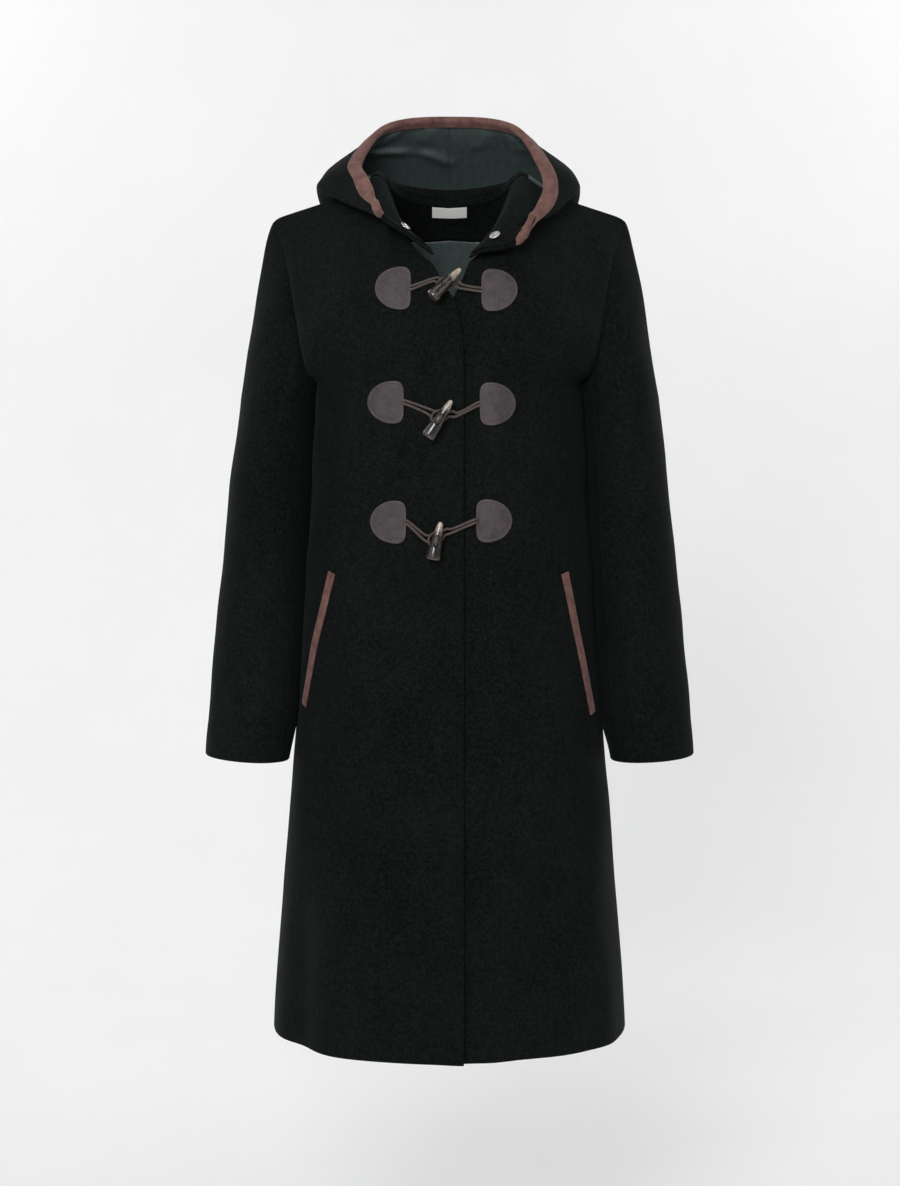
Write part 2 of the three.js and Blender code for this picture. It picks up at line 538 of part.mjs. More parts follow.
// The binding folds round the face edge: w runs from its outer leaf over the edge to its inner leaf.
function bindingAt(round, w, out) {
  const layers = WOOL + HOOD_SPACE + LINING;
  const half = layers / 2 + BINDING_SPACE + out;
  if (w <= 0.4) return hoodLayer(round, mix(BINDING_LINE, 1, w / 0.4), half - layers / 2);
  if (w >= 0.6) return hoodLayer(round, mix(1, BINDING_LINE, (w - 0.6) / 0.4), -half - layers / 2);
  const edge = new THREE.Vector3(...hoodLayer(round, 1, -layers / 2));
  const outer = new THREE.Vector3(...hoodLayer(round, 1, 0)).sub(edge).normalize();
  const past = edge.clone().sub(new THREE.Vector3(...hoodLayer(round, 0.99, -layers / 2)));
  past.addScaledVector(outer, -past.dot(outer)).normalize();
  const turn = (w - 0.4) / 0.2 * Math.PI;
  return edge.addScaledVector(outer, half * Math.cos(turn)).addScaledVector(past, half * Math.sin(turn)).toArray();
}

function addBinding() {
  const rounds = [0.004, ...ALL_ROUNDS.slice(1, -1), 0.996];
  const turned = (round, w) => onLeft(round) !== (w >= 0.5);
  addMesh('hood_binding', wallGeometry(bindingAt, rounds, [0, 0.4, 0.5, 0.6, 1], [BINDING_THICKNESS, 0], turned), suede);
}

// A patch is a D: a disc drawn from a square, with its inner half straightened towards a flat side.
function patchAt(centre, flatSide, u, v, out) {
  const a = 2 * u - 1;
  const b = 2 * v - 1;
  const discX = a * Math.sqrt(1 - b * b / 2);
  const discY = b * Math.sqrt(1 - a * a / 2);
  const reach = Math.sqrt(Math.max(1e-9, 1 - discY * discY));
  const flat = (discX / reach) * (1 - Math.abs(discY) ** 5) ** 0.4;
  const x = discX * flatSide > 0 ? flat : discX;
  return overFront(centre[0] + x * PATCH_HALF_WIDTH, centre[1] + discY * PATCH_HALF_HEIGHT, out);
}

function tubeGeometry(points, steps) {
  const section = new THREE.Shape(Array.from({ length: CORD_SIDES }, (_, i) => {
    const angle = i / CORD_SIDES * 2 * Math.PI;
    return new THREE.Vector2(CORD_RADIUS * Math.cos(angle), CORD_RADIUS * Math.sin(angle));
  }));
  const places = points.map((point) => new THREE.Vector3(...point));
  const extrudePath = new THREE.CatmullRomCurve3(places, false, 'centripetal');
  return new THREE.ExtrudeGeometry(section, { steps, extrudePath, bevelEnabled: false });
}

function solidOf(geometry) {
  const bare = geometry.index ? geometry.toNonIndexed() : geometry.clone();
  bare.deleteAttribute('normal');
  bare.deleteAttribute('uv');
  const merged = mergeVertices(bare, 1e-4);
  return new wasm.Manifold(new wasm.Mesh({
    numProp: 3,
    vertProperties: merged.getAttribute('position').array,
    triVerts: new Uint32Array(merged.index.array),
  }));
}

function geometryOf(solid) {
  const mesh = solid.getMesh();
  const geometry = new THREE.BufferGeometry();
  geometry.setAttribute('position', new THREE.BufferAttribute(mesh.vertProperties, 3));
  geometry.setIndex(new THREE.BufferAttribute(mesh.triVerts, 1));
  return geometry;
}

// The horn toggle along +Y, its two cord holes along Z.
function toggleGeometry(length) {
  const profile = TOGGLE_PROFILE.map(([share, radius]) => new THREE.Vector2(radius, (share - 0.5) * length));
  let solid = solidOf(new THREE.LatheGeometry(profile, 12));
  for (const y of [-TOGGLE_HOLE_OFFSET, TOGGLE_HOLE_OFFSET]) {
    const drill = new THREE.CylinderGeometry(TOGGLE_HOLE_RADIUS, TOGGLE_HOLE_RADIUS, 30, 8);
    drill.rotateX(Math.PI / 2);
    drill.translate(0, y, 0);
    solid = solid.subtract(solidOf(drill));
  }
  return geometryOf(solid);
}

// A toggle's axis from base to tip, the way out of the cloth under its middle, and its middle.
function toggleFrame(row) {
  const middle = [(row.base[0] + row.tip[0]) / 2, (row.base[1] + row.tip[1]) / 2];
  const cloth = new THREE.Vector3(...overFront(...middle, 0));
  const out = new THREE.Vector3(...overFront(...middle, 1)).sub(cloth).normalize();
  const run = new THREE.Vector3(row.tip[0] - row.base[0], 0, row.tip[1] - row.base[1]);
  const axis = run.clone().addScaledVector(out, -run.dot(out)).normalize();
  return { middle, length: run.length(), axis, out, centre: cloth.addScaledVector(out, TOGGLE_LIFT) };
}

function addClosures() {
  for (const row of toggleRows) {
    for (const [name, centre, flatSide] of [['right', row.left, 1], ['left', row.right, -1]]) {
      const patch = (u, v, out) => patchAt(centre, flatSide, u, v, out);
      addMesh(`patch_${row.name}_${name}`, wallGeometry(patch, 6, 6, [PATCH_THICKNESS + 0.7, 0.7]), leather);
    }
    const { middle, length, axis, out, centre } = toggleFrame(row);
    const toggle = addMesh(`toggle_${row.name}`, toggleGeometry(length), horn);
    toggle.quaternion.setFromRotationMatrix(new THREE.Matrix4().makeBasis(axis.clone().cross(out), axis, out));
    toggle.position.copy(centre);

    // Points by their place along the toggle and across it, towards the cord's own patch.
    const reach = Math.hypot(axis.x, axis.z);
    const way = [axis.x / reach, axis.z / reach];
    const near = (along, across, lift) => overFront(
      middle[0] + along * way[0] - across * way[1],
      middle[1] + along * way[1] + across * way[0],
      lift,
    );
    const inHole = (along, lift) => centre.clone().addScaledVector(axis, along).addScaledVector(out, lift).toArray();
    const hole = TOGGLE_HOLE_OFFSET;
    const startX = row.left[0] + PATCH_HALF_WIDTH + CORD_RADIUS * 0.4;
    const cordHalf = (sign) => [
      overFront(startX, row.left[1] + sign * 2.4, CORD_LIFT),
      overFront(startX + 8, row.left[1] + sign * 2.2, CORD_LIFT),
      near(sign * (hole + 0.4), 15, CORD_LIFT),
      near(sign * hole, 4, CORD_LIFT),
      near(sign * hole, 0.8, CORD_LIFT + 2),
      inHole(sign * hole, -6),
      inHole(sign * hole, 0),
      inHole(sign * hole, 6),
      inHole(sign * (hole - 1.4), 8),
    ];
    const cordPath = [...cordHalf(1), ...cordHalf(-1).reverse()];
    addMesh(`cord_${row.name}`, tubeGeometry(cordPath, 44), waxedCord);

    const endX = row.right[0] - PATCH_HALF_WIDTH - CORD_RADIUS * 0.4;
    const wide = hole + 2 * CORD_RADIUS + 1.4;
    const loopHalf = (sign) => [
      overFront(endX, row.right[1] + sign * 3.2, CORD_LIFT),
      overFront(endX - 8, row.right[1] + sign * 3.6, CORD_LIFT + 1),
      near(sign * (wide - 0.6), -11, LOOP_LIFT),
      near(sign * wide, 0, LOOP_LIFT),
      near(sign * (wide - 2), 8, LOOP_LIFT),
    ];
    const loopPath = [...loopHalf(1), near(0, 12.5, LOOP_LIFT + 0.5), ...loopHalf(-1).reverse()];
    addMesh(`loop_${row.name}`, tubeGeometry(loopPath, 32), waxedCord);
  }
}

function addPockets() {
  for (const row of pocketRows) {
    const run = [(row.bottom[0] - row.top[0]) * WELT_QUARTER_ARC, row.bottom[1] - row.top[1]];
    const length = Math.hypot(...run);
    const welt = (u, v, out) => {
      const across = (u - 0.5) * WELT_WIDTH;
      const share = mix(row.bottom[0], row.top[0], v) - across * run[1] / length / WELT_QUARTER_ARC;
      const z = mix(row.bottom[1], row.top[1], v) + across * run[0] / length;
      return torsoAt('front', row.side, share, (z - HEM_Z) / (ARMPIT_Z - HEM_Z), out);
    };
    addMesh(row.name, wallGeometry(welt, 2, 8, [WELT_THICKNESS + 0.4, 0.4]), suede);
  }
}

function addSmallMetalAndLabel() {
  const snapDepth = -WOOL - HOOD_SPACE - LINING - 1.2;
  for (const row of snapRows) {
    const snap = new THREE.Mesh(
      new THREE.LatheGeometry([[0, 0], [SNAP_RADIUS, 0], [SNAP_RADIUS, 1], [4.6, 1.7], [2, 1.5], [0, 1.5]]
        .map(([radius, height]) => new THREE.Vector2(radius, height)), 16),
      new THREE.MeshStandardMaterial(nickel),
    );
    const seat = new THREE.Vector3(...hoodAt(row.round, row.up, snapDepth));
    const above = new THREE.Vector3(...hoodAt(row.round, row.up, snapDepth - 1));
    snap.position.copy(seat);
    snap.quaternion.setFromUnitVectors(new THREE.Vector3(0, 1, 0), above.sub(seat).normalize());
    snap.name = row.name;
    coat.add(snap);
  }
  const labelDepth = -WOOL - SEAM - LINING - 0.9;
  const label = (u, v, out) => {
    const level = mix(1.86, 1.965, v);
    const share = shareAtX('back', u < 0.5 ? -1 : 1, (u - 0.5) * LABEL_WIDTH, level);
    return torsoAt('back', u < 0.5 ? -1 : 1, share, level, out);
  };
  addMesh('label', wallGeometry(label, 4, 2, [labelDepth, labelDepth - 0.6]), whiteTape);
}

addBody();
addSleeves();
addHood();
addBinding();
addClosures();
addPockets();
addSmallMetalAndLabel();

export default coat;
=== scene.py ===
# %% [markdown]
# # A hooded duffle coat, filled out as when worn
# The coat is heavy black wool with a satin-lined hood, suede trim, leather patches and horn toggles.
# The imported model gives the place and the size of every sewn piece. This script makes the same pieces
# again as finer cloth, with creases, rounded edges, stitches and finishes, and lights them softly.

# %% Load the frame
import math

import bpy
import numpy as np
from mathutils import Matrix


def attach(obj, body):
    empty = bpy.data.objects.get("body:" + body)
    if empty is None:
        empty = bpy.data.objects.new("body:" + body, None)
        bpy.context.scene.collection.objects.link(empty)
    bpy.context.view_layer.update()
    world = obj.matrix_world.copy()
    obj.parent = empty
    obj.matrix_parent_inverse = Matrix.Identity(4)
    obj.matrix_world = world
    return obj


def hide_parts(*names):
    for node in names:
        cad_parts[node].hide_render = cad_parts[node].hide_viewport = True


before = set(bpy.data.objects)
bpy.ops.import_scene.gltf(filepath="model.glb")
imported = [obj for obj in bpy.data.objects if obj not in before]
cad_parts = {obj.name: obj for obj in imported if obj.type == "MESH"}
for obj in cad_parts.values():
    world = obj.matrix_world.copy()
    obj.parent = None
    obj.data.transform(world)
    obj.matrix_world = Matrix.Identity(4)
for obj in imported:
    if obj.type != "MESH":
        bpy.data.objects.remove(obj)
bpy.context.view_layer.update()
print("the packed model has", len(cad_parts), "nodes")

# %% [markdown]
# ## Camera
# The photograph looks straight at the chest from a few metres away, so the lines are nearly parallel.
# A lens shift frames the long coat while the camera stays level, as a photographer's shift lens does.

# %% Camera
MM = 0.001
CAMERA_DISTANCE = 2.6
CAMERA_HEIGHT = -0.25
PHOTO_HEIGHT = 1.3876         # what the frame shows from top to bottom at the coat's middle
PHOTO_MIDDLE = (0.0006, -0.4598)

camera_data = bpy.data.cameras.new("camera")
camera_data.sensor_fit = "VERTICAL"
camera_data.sensor_height = 36
camera_data.lens = 36 * CAMERA_DISTANCE / PHOTO_HEIGHT
camera_data.shift_x = PHOTO_MIDDLE[0] / PHOTO_HEIGHT
camera_data.shift_y = (PHOTO_MIDDLE[1] - CAMERA_HEIGHT) / PHOTO_HEIGHT
camera = bpy.data.objects.new("camera", camera_data)
camera.location = (0, -CAMERA_DISTANCE, CAMERA_HEIGHT)
camera.rotation_euler = (math.pi / 2, 0, 0)
bpy.context.collection.objects.link(camera)
bpy.context.scene.camera = camera
print("camera with a lens of", round(camera_data.lens, 1), "mm")

# %% [markdown]
# ## The coat's own sizes
# A pattern cutter works from a table of sizes. These tables, in millimetres, are those of the packed
# model: sections of the torso, the seam lines, the sleeves and the rings of the hood. Cuffs and hood were
# fitted again by a few millimetres. Each piece can so be drawn with as many points as its creases need.

# %% Sizes of the torso
WOOL, LINING, SEAM, HOOD_SPACE = 3, 1, 0.4, 1
RING_POWER = 2.2              # how square the torso sections are; 2 is an ellipse
ARMPIT_Z, HEM_Z, HEM_DIP = -215, -962, 7
NECK_SHARE = 0.36             # the share of a panel's top edge that is neckline
OVERLAP_STEP, DIP_START_X, DIP_END_X, BRIDGE_X = 4.2, 58, 22, 29
EDGE_REST, EDGE_LIFT = 2.0, 2.4      # how far the right front's edge stands off, and how much more at the hem

# height, half width, depth to the front, depth to the back
TORSO_ROWS = np.array([
    [-962, 205, 150, 150], [-780, 192, 142, 142], [-600, 178, 134, 132],
    [-420, 167, 127, 120], [-300, 160, 126, 112], [-215, 156, 127, 112],
], float)
# panel, side, share of the way to the side seam, width, depth at the hem, height where it starts
SKIRT_FLUTES = [
    ("front", -1, 0.62, 0.10, -6, -520), ("front", -1, 0.40, 0.12, 5, -580),
    ("front", 1, 0.24, 0.12, -7, -560), ("front", 1, 0.66, 0.10, 4, -640),
    ("back", -1, 0.45, 0.13, 7, -480), ("back", 1, 0.38, 0.13, 6, -520), ("back", 1, 0.80, 0.10, -4, -600),
]
CENTRE_LINE = {
    "front": [[0, -127, -215], [0, -125, -170], [0, -118, -128], [0, -106, -90]],
    "back": [[0, 112, -215], [0, 116, -150], [0, 108, -80], [0, 92, -30], [0, 72, 2]],
}
NECKLINE = {
    "front": [[0, -106, -90], [24, -99, -77], [50, -76, -47], [68, -38, -8], [75, 0, 20]],
    "back": [[0, 72, 2], [34, 66, 5], [60, 42, 11], [75, 0, 20]],
}
SHOULDER_SEAM = [[75, 0, 20], [118, 1, 7], [160, 1, -7], [196, 0, -19], [206, 0, -25]]
ARMHOLE = {
    "front": [
        [156, 0, -215], [163, -38, -206], [170, -52, -180], [177, -46, -140], [190, -26, -72], [206, 0, -25],
    ],
    "back": [
        [156, 0, -215], [163, 40, -205], [169, 58, -175], [177, 54, -130], [190, 32, -68], [206, 0, -25],
    ],
}
EDGE_X = {-1: [[15.8], [15.5], [12], [2], [-18]], 1: [[-25], [-24], [-14], [6], [22]]}
print("torso", 2 * TORSO_ROWS[0, 1], "mm wide at the hem and", -HEM_Z, "mm below the neck")

# %% Sizes of the sleeves and the hood
# height, outer edge, inner edge, middle of the depth, half of the depth
SLEEVE_ROWS = np.array([
    [-643, 282, 188, -25, 50], [-604, 279, 185, -22, 51], [-540, 275, 182, -17, 53],
    [-460, 268, 178, -11, 56], [-380, 261, 173, -5, 60], [-300, 253, 169, 0, 64], [-232, 244, 165, 2, 68],
], float)
CUFF_Z, CAP_Z, CUFF_TILT, CAP_FALL = -643, -232, 3.5, 0.3
UNDER_FRONT_TURN, UNDER_BACK_TURN = 0.38, 0.66
PRESSED = 11                  # how far the sleeve's inner side leans in until the body stops it
PRESSED_SPACE, PRESSED_SOFTNESS = -1.5, 0.6
ARMHOLE_OVERLAP = 0.6         # how far the sleeve starts inside the armhole
CAP_BEND = np.array([0.27, 0.5, 0.04])       # where the cap bends, as shares of its run in x, y and z

# Each row is a ring of the hood, from the neck seam over the fold underneath up to the face edge.
# back, back side, side, then front, corner and end on the viewer's left, then those on the right
HOOD_ROWS = [
    [[0, 72.5, 3], [57, 47, 12], [75, -1, 21], [68, -38, -8], [51, -77, -45], [19, -102, -72],
     [68, -38, -8], [51, -77, -45], [23, -103, -76]],
    [[0, 80, 16], [63, 54, 21], [82, 0, 29], [78, -49, 3], [56, -91, -37], [34, -111, -61],
     [78, -49, 3], [57, -92, -41], [36, -112, -70]],
    [[0, 106, -14], [86, 75, 2], [110, 4, 12], [93, -58, -4], [66, -99, -36], [50, -113, -50],
     [94, -59, -8], [69, -101, -45], [51, -115, -68]],
    [[0, 134, -98], [110, 108, -58], [137, 8, 4], [109, -57, -12], [78, -99, -31], [64, -112, -41],
     [113, -60, -19], [82, -104, -46], [65, -114, -65]],
    [[0, 166, -104], [126, 130, -42], [154, 3, 12], [123, -50, -5], [86, -93, -21], [74, -109, -34],
     [126, -55, -15], [90, -102, -41], [73, -114, -62]],
    [[0, 168, -10], [130, 92, 36], [143, -8, 30], [119, -45, 11], [89, -86, -12], [80, -104, -27],
     [129, -52, -5], [96, -97, -34], [80, -111, -57]],
    [[0, 66, 103], [76, 45, 92], [107, -12, 43], [98, -50, 20], [88, -79, -4], [85, -97, -20],
     [113, -55, 7], [97, -91, -26], [86, -107, -52]],
]
rows = np.array(HOOD_ROWS, float)
flipped_left = rows[:, [5, 4, 3, 2, 1]] * [-1, 1, 1]
HOOD_STATIONS = np.concatenate([flipped_left, rows[:, [0, 1, 2, 6, 7, 8]]], axis=1)
print("hood grid of", HOOD_STATIONS.shape[0], "rings and", HOOD_STATIONS.shape[1], "stations")

# %% [markdown]
# ## Curves through points
# Each surface below is a smooth curve through a few measured points, carried along a second one.
# A cubic between two points needs only the slope at each, taken from the points on either side.
# Where the points are unevenly spaced, as in the hood, slopes are weighted by the root of the spacing,
# which keeps the curve from swinging out. All samples are worked out at once, as whole arrays.

# %% Curves
def smooth(t):
    """3t² − 2t³, with t held between 0 and 1."""
    t = np.clip(t, 0, 1)
    return t * t * (3 - 2 * t)


def mix(a, b, t):
    """a + (b − a) t"""
    return a + (b - a) * t


def column(values):
    return np.asarray(values, float)[..., None]


def point_of(x, y, z):
    return np.stack(np.broadcast_arrays(x, y, z), axis=-1).astype(float)


def unit(vectors):
    return vectors / np.maximum(np.linalg.norm(vectors, axis=-1, keepdims=True), 1e-9)


def spline(points, t, even=True):
    """Cubic between the points at index t × last. Slopes are half the step from the point before to
    the one after, or, where even is False, weighted by the square roots of the distances."""
    points = np.asarray(points, float)
    last = len(points) - 1
    at = np.clip(np.asarray(t, float) * last, 0, last)
    i = np.minimum(last - 1, at.astype(int))
    f = column(at - i)
    if points.ndim == 2:
        pick = lambda j: points[j]
    else:
        pick = lambda j: np.take_along_axis(points, j[None, ..., None], axis=0)[0]
    b, c = pick(i), pick(i + 1)
    a = np.where(column(i > 0), pick(np.maximum(i - 1, 0)), 2 * b - c)
    d = np.where(column(i + 2 <= last), pick(np.minimum(i + 2, last)), 2 * c - b)
    slope_b, slope_c = (c - a) / 2, (d - b) / 2
    if not even:
        steps = ((a, b), (b, c), (c, d))
        before, own, after = (np.sqrt(column(np.linalg.norm(q - p, axis=-1))) for p, q in steps)
        slope_b = ((b - a) / before * own ** 2 + (c - b) * before) / (before + own)
        slope_c = ((d - c) / after * own ** 2 + (c - b) * after) / (after + own)
    weight = 2 * f ** 3 - 3 * f ** 2 + 1
    return weight * b + (1 - weight) * c + (f ** 3 - 2 * f ** 2 + f) * slope_b + (f ** 3 - f ** 2) * slope_c


def sizes_at(table, z):
    """The sizes of a table at height z: a cubic between its rows, flat past its ends."""
    z = np.asarray(z, float)
    last = len(table) - 1
    i = np.clip(np.searchsorted(table[:, 0], z, side="left") - 1, 0, last - 1)
    f = column(np.clip((z - table[i, 0]) / (table[i + 1, 0] - table[i, 0]), 0, 1))
    a, b, c, d = (table[np.clip(i + k, 0, last), 1:] for k in (-1, 0, 1, 2))
    weight = 2 * f ** 3 - 3 * f ** 2 + 1
    slopes = (f ** 3 - 2 * f ** 2 + f) / 2 * (c - a) + (f ** 3 - f ** 2) / 2 * (d - b)
    return np.moveaxis(weight * b + (1 - weight) * c + slopes, -1, 0)


print("half way round the first neckline:", spline(NECKLINE["front"], 0.5).round(1))

# %% [markdown]
# ## Creases
# Thick melton doesn't crumple. It shows long soft troughs where the arm and the pocket pull on it, and
# a faint unevenness all over. A cloth simulation would lose the shape the sizes give, so the creases are
# laid as strokes: each is a soft ridge or trough along a line, bowed, and fading at both ends.
# Lengths, widths and depths differ from one to the next, on the hidden sides too.

# %% Strokes and waviness
def strokes(table, a, b):
    """For each row (a0, b0, a1, b1, width, depth, bow): depth × exp(−((p − bow·4t(1−t)) / width)²) × fade,
    where t runs along the line, p is the distance across it and fade is smooth at both ends."""
    total = np.zeros(np.broadcast(a, b).shape)
    for a0, b0, a1, b1, width, depth, bow in table:
        run_a, run_b = a1 - a0, b1 - b0
        length = math.hypot(run_a, run_b)
        t = ((a - a0) * run_a + (b - b0) * run_b) / length ** 2
        p = ((b - b0) * run_a - (a - a0) * run_b) / length
        inside = np.clip(t, 0, 1)
        fade = smooth(inside / 0.35) * smooth((1 - inside) / 0.35)
        total += depth * np.exp(-((p - bow * 4 * inside * (1 - inside)) / width) ** 2) * fade
    return total


# direction (x, y, z) and phase of each wave, with its length in mm and its height in mm
WAVES = [
    ((0.9, 0.3, 0.35), 0.4, 118, 0.42), ((-0.5, 0.7, 0.6), 2.1, 83, 0.30),
    ((0.2, -0.4, 1.0), 4.0, 141, 0.40), ((0.8, -0.5, -0.6), 1.3, 57, 0.16),
    ((-0.3, 0.2, -1.0), 5.2, 69, 0.20), ((0.6, 0.8, 0.1), 3.3, 47, 0.10),
]


def waviness(points):
    """A sum of sines of the place along six directions, so that no stretch of cloth is quite even."""
    total = 0
    for direction, phase, length, height in WAVES:
        total = total + height * np.sin(points @ unit(np.array(direction)) * 2 * math.pi / length + phase)
    return total


CREASE_STRENGTH = 1.5         # scales the depths below
# x and z of both ends, width, depth (positive stands out), bow; all in mm, seen from the front
FRONT_CREASES = [
    (-150, -560, -98, -905, 22, -3.4, 14), (-116, -610, -70, -880, 18, 2.2, 10),
    (-178, -600, -150, -880, 16, 1.6, 5), (-60, -720, -34, -962, 17, -2.0, -6),
    (152, -600, 118, -900, 20, -2.6, -12), (92, -640, 74, -955, 19, 2.4, -7),
    (176, -640, 160, -930, 14, 1.8, -4), (30, -690, 40, -965, 14, -2.2, 4),
    (-160, -205, -112, -262, 11, -2.2, 6), (-164, -236, -126, -318, 10, -1.4, 5),
    (-150, -190, -96, -215, 9, 1.2, 4), (162, -208, 118, -258, 11, -2.0, -5),
    (166, -242, 136, -336, 10, -1.2, -5), (-168, -300, -150, -420, 13, -1.5, 4),
    (170, -310, 152, -432, 13, -1.3, -4), (-122, -110, -66, -146, 12, -0.9, 3),
    (118, -104, 70, -150, 12, -0.9, -3), (-58, -128, -20, -150, 8, -0.7, 2),
    (52, -134, 22, -150, 8, -0.6, -2), (-78, -262, -30, -300, 9, -0.7, 3),
    (64, -266, 24, -304, 9, -0.6, -3), (-128, -470, -60, -505, 20, -0.9, 6),
    (124, -480, 52, -512, 19, -0.8, -5),
]
BACK_CREASES = [
    (-120, -500, -86, -940, 24, -3.2, -12), (-60, -560, -44, -955, 18, 2.2, 8),
    (96, -520, 74, -950, 22, -2.8, 10), (38, -600, 20, -960, 16, -1.9, -6),
    (150, -560, 140, -920, 15, 1.8, 5), (-164, -600, -150, -930, 14, 1.5, -5),
    (-150, -170, -92, -250, 13, -2.3, -6), (-160, -210, -118, -330, 11, -1.5, -5),
    (152, -176, 98, -262, 13, -2.1, 6), (162, -216, 124, -322, 11, -1.3, 5),
    (-80, -400, 70, -408, 15, -1.3, 7), (-64, -446, 84, -436, 13, 1.0, -6),
    (-70, -92, -20, -122, 12, -1.0, 4), (76, -96, 18, -118, 12, -0.9, -4),
]
print(len(FRONT_CREASES), "creases in front and", len(BACK_CREASES), "behind")

# %% [markdown]
# ## The torso as a surface
# Under the arms the coat is a stack of rounded-square sections, which are superellipses. Above the
# armpits each panel is a patch between four seam lines, which rounds over to the shoulder. A panel's
# share runs from the centre line, 0, to the side seam, 1, and its level from the hem, 0, over the
# armpit, 1, to the shoulder, 2. Every layer is that one surface moved along its normal.

# %% Torso surface
def ring(panel, share, z):
    """A quarter of |x/w|^2.2 + |y/d|^2.2 = 1, by the angle share × 90°."""
    half_width, front, back = sizes_at(TORSO_ROWS, z)
    angle = share * math.pi / 2
    depth = -front if panel == "front" else back
    across = half_width * np.abs(np.sin(angle)) ** (2 / RING_POWER)
    return point_of(across, depth * np.abs(np.cos(angle)) ** (2 / RING_POWER), z)


def flute_depth(panel, side, share, z):
    """Sum of depth × fall × exp(−((share − middle) / width)²), where fall grows from the start to the hem."""
    total = np.zeros(share.shape)
    for fold_panel, fold_side, middle, width, depth, top in SKIRT_FLUTES:
        if fold_panel == panel:
            fall = smooth((top - z) / (top - HEM_Z)) * (side == fold_side)
            total += depth * fall * np.exp(-((share - middle) / width) ** 2)
    return total


def top_line(panel, share):
    neck = spline(NECKLINE[panel], share / NECK_SHARE)
    shoulder = spline(SHOULDER_SEAM, (share - NECK_SHARE) / (1 - NECK_SHARE))
    return np.where(column(share < NECK_SHARE), neck, shoulder)


def yoke(panel, share, rise):
    """bottom → top, blended by rise, plus what the centre line and the armhole differ from that blend."""
    turn = 1 - np.cos(rise * math.pi / 2)
    blend = point_of(rise ** 2 * (1.6 - 0.6 * rise), mix(rise ** 2, turn, share), np.sin(rise * math.pi / 2))
    zero, one = np.zeros(1), np.ones(1)
    bottom = ring(panel, share, np.full(share.shape, float(ARMPIT_Z)))
    centre_bottom, arm_bottom = (ring(panel, at, ARMPIT_Z * one)[0] for at in (zero, one))
    centre_top, arm_top = (top_line(panel, at)[0] for at in (zero, one))
    centre = spline(CENTRE_LINE[panel], rise) - mix(centre_bottom, centre_top, blend)
    arm = spline(ARMHOLE[panel], rise) - mix(arm_bottom, arm_top, blend)
    return mix(bottom, top_line(panel, share), blend) + column(1 - share) * centre + column(share) * arm


def torso(panel, side, share, level):
    share, level = np.broadcast_arrays(np.asarray(share, float), np.asarray(level, float))
    side = np.where(share < 0, -side, side)
    share = np.abs(share)
    skirt_level = np.minimum(level, 1)
    z = mix(HEM_Z, ARMPIT_Z, skirt_level)
    skirt = ring(panel, share, z)
    skirt[..., :2] *= column(1 + flute_depth(panel, side, share, z) / np.hypot(skirt[..., 0], skirt[..., 1]))
    if panel == "front":
        skirt[..., 2] -= HEM_DIP * (1 - share) * (1 - skirt_level) ** 3
    points = np.where(column(level > 1), yoke(panel, share, np.clip(level - 1, 0, 1)), skirt)
    return points * point_of(side, 1, 1)


def normal_of(surface, a, b, low, high, middle):
    """The cross product of the two slopes of a surface, turned away from the middle."""
    step = 2e-3
    along = surface(np.minimum(high[0], a + step), b) - surface(np.maximum(low[0], a - step), b)
    rising = surface(a, np.minimum(high[1], b + step)) - surface(a, np.maximum(low[1], b - step))
    normal = unit(np.cross(along, rising))
    outward = np.sum(normal * (surface(a, b) - middle), axis=-1, keepdims=True)
    return np.where(outward < 0, -normal, normal)


def torso_at(panel, side, share, level, out):
    """A torso point moved out by out plus the creases. At seams both panels share one normal."""
    share, level = np.broadcast_arrays(np.asarray(share, float), np.asarray(level, float))
    points = torso(panel, side, share, level)
    middle = point_of(0, 0, np.minimum(points[..., 2], -60) - 20)
    surface = lambda a, b: torso(panel, side, a, b)
    normal = normal_of(surface, share, level, (-1, 0), (1, 2), middle)
    shoulder = smooth((level - 1.8) / 0.19) * smooth((np.abs(share) - NECK_SHARE + 0.08) / 0.08)
    near_seam = np.where(level > 1, shoulder, smooth((np.abs(share) - 0.93) / 0.06))
    normal[..., 1] *= 1 - near_seam
    creases = FRONT_CREASES if panel == "front" else BACK_CREASES
    relief = CREASE_STRENGTH * strokes(creases, points[..., 0], points[..., 2]) + waviness(points)
    relief = relief * smooth((0.995 - np.abs(share)) / 0.1) * smooth((1.99 - level) / 0.2)
    return points + normal * column((out + relief) / np.linalg.norm(normal, axis=-1))


print("a point on the back:", torso_at("back", 1, 0.5, 0.5, 0).round(1))

# %% [markdown]
# ## Where the fronts overlap
# The right front lies on the left one, so the left one passes a few millimetres behind it. The share
# at which a section crosses a given x has no formula, so it is found by halving an interval: twenty
# halvings place it to a thousandth of a millimetre, for all points at once.

# %% Front panels
def halving(low, high, below, count=20):
    """The place where below turns false, by halving the interval count times."""
    for _ in range(count):
        middle = (low + high) / 2
        under = below(middle)
        low, high = np.where(under, middle, low), np.where(under, high, middle)
    return (low + high) / 2


def share_at_x(panel, side, x, level, count=20):
    x, level = np.broadcast_arrays(np.asarray(x, float), np.asarray(level, float))
    other_half = side * x < 0
    low, high = np.where(other_half, -0.4, 0.0), np.where(other_half, 0.0, 1.0)
    return halving(low, high, lambda share: side * (torso(panel, side, share, level)[..., 0] - x) < 0, count)


def pass_behind(x):
    return OVERLAP_STEP * smooth((DIP_START_X - x) / (DIP_START_X - DIP_END_X))


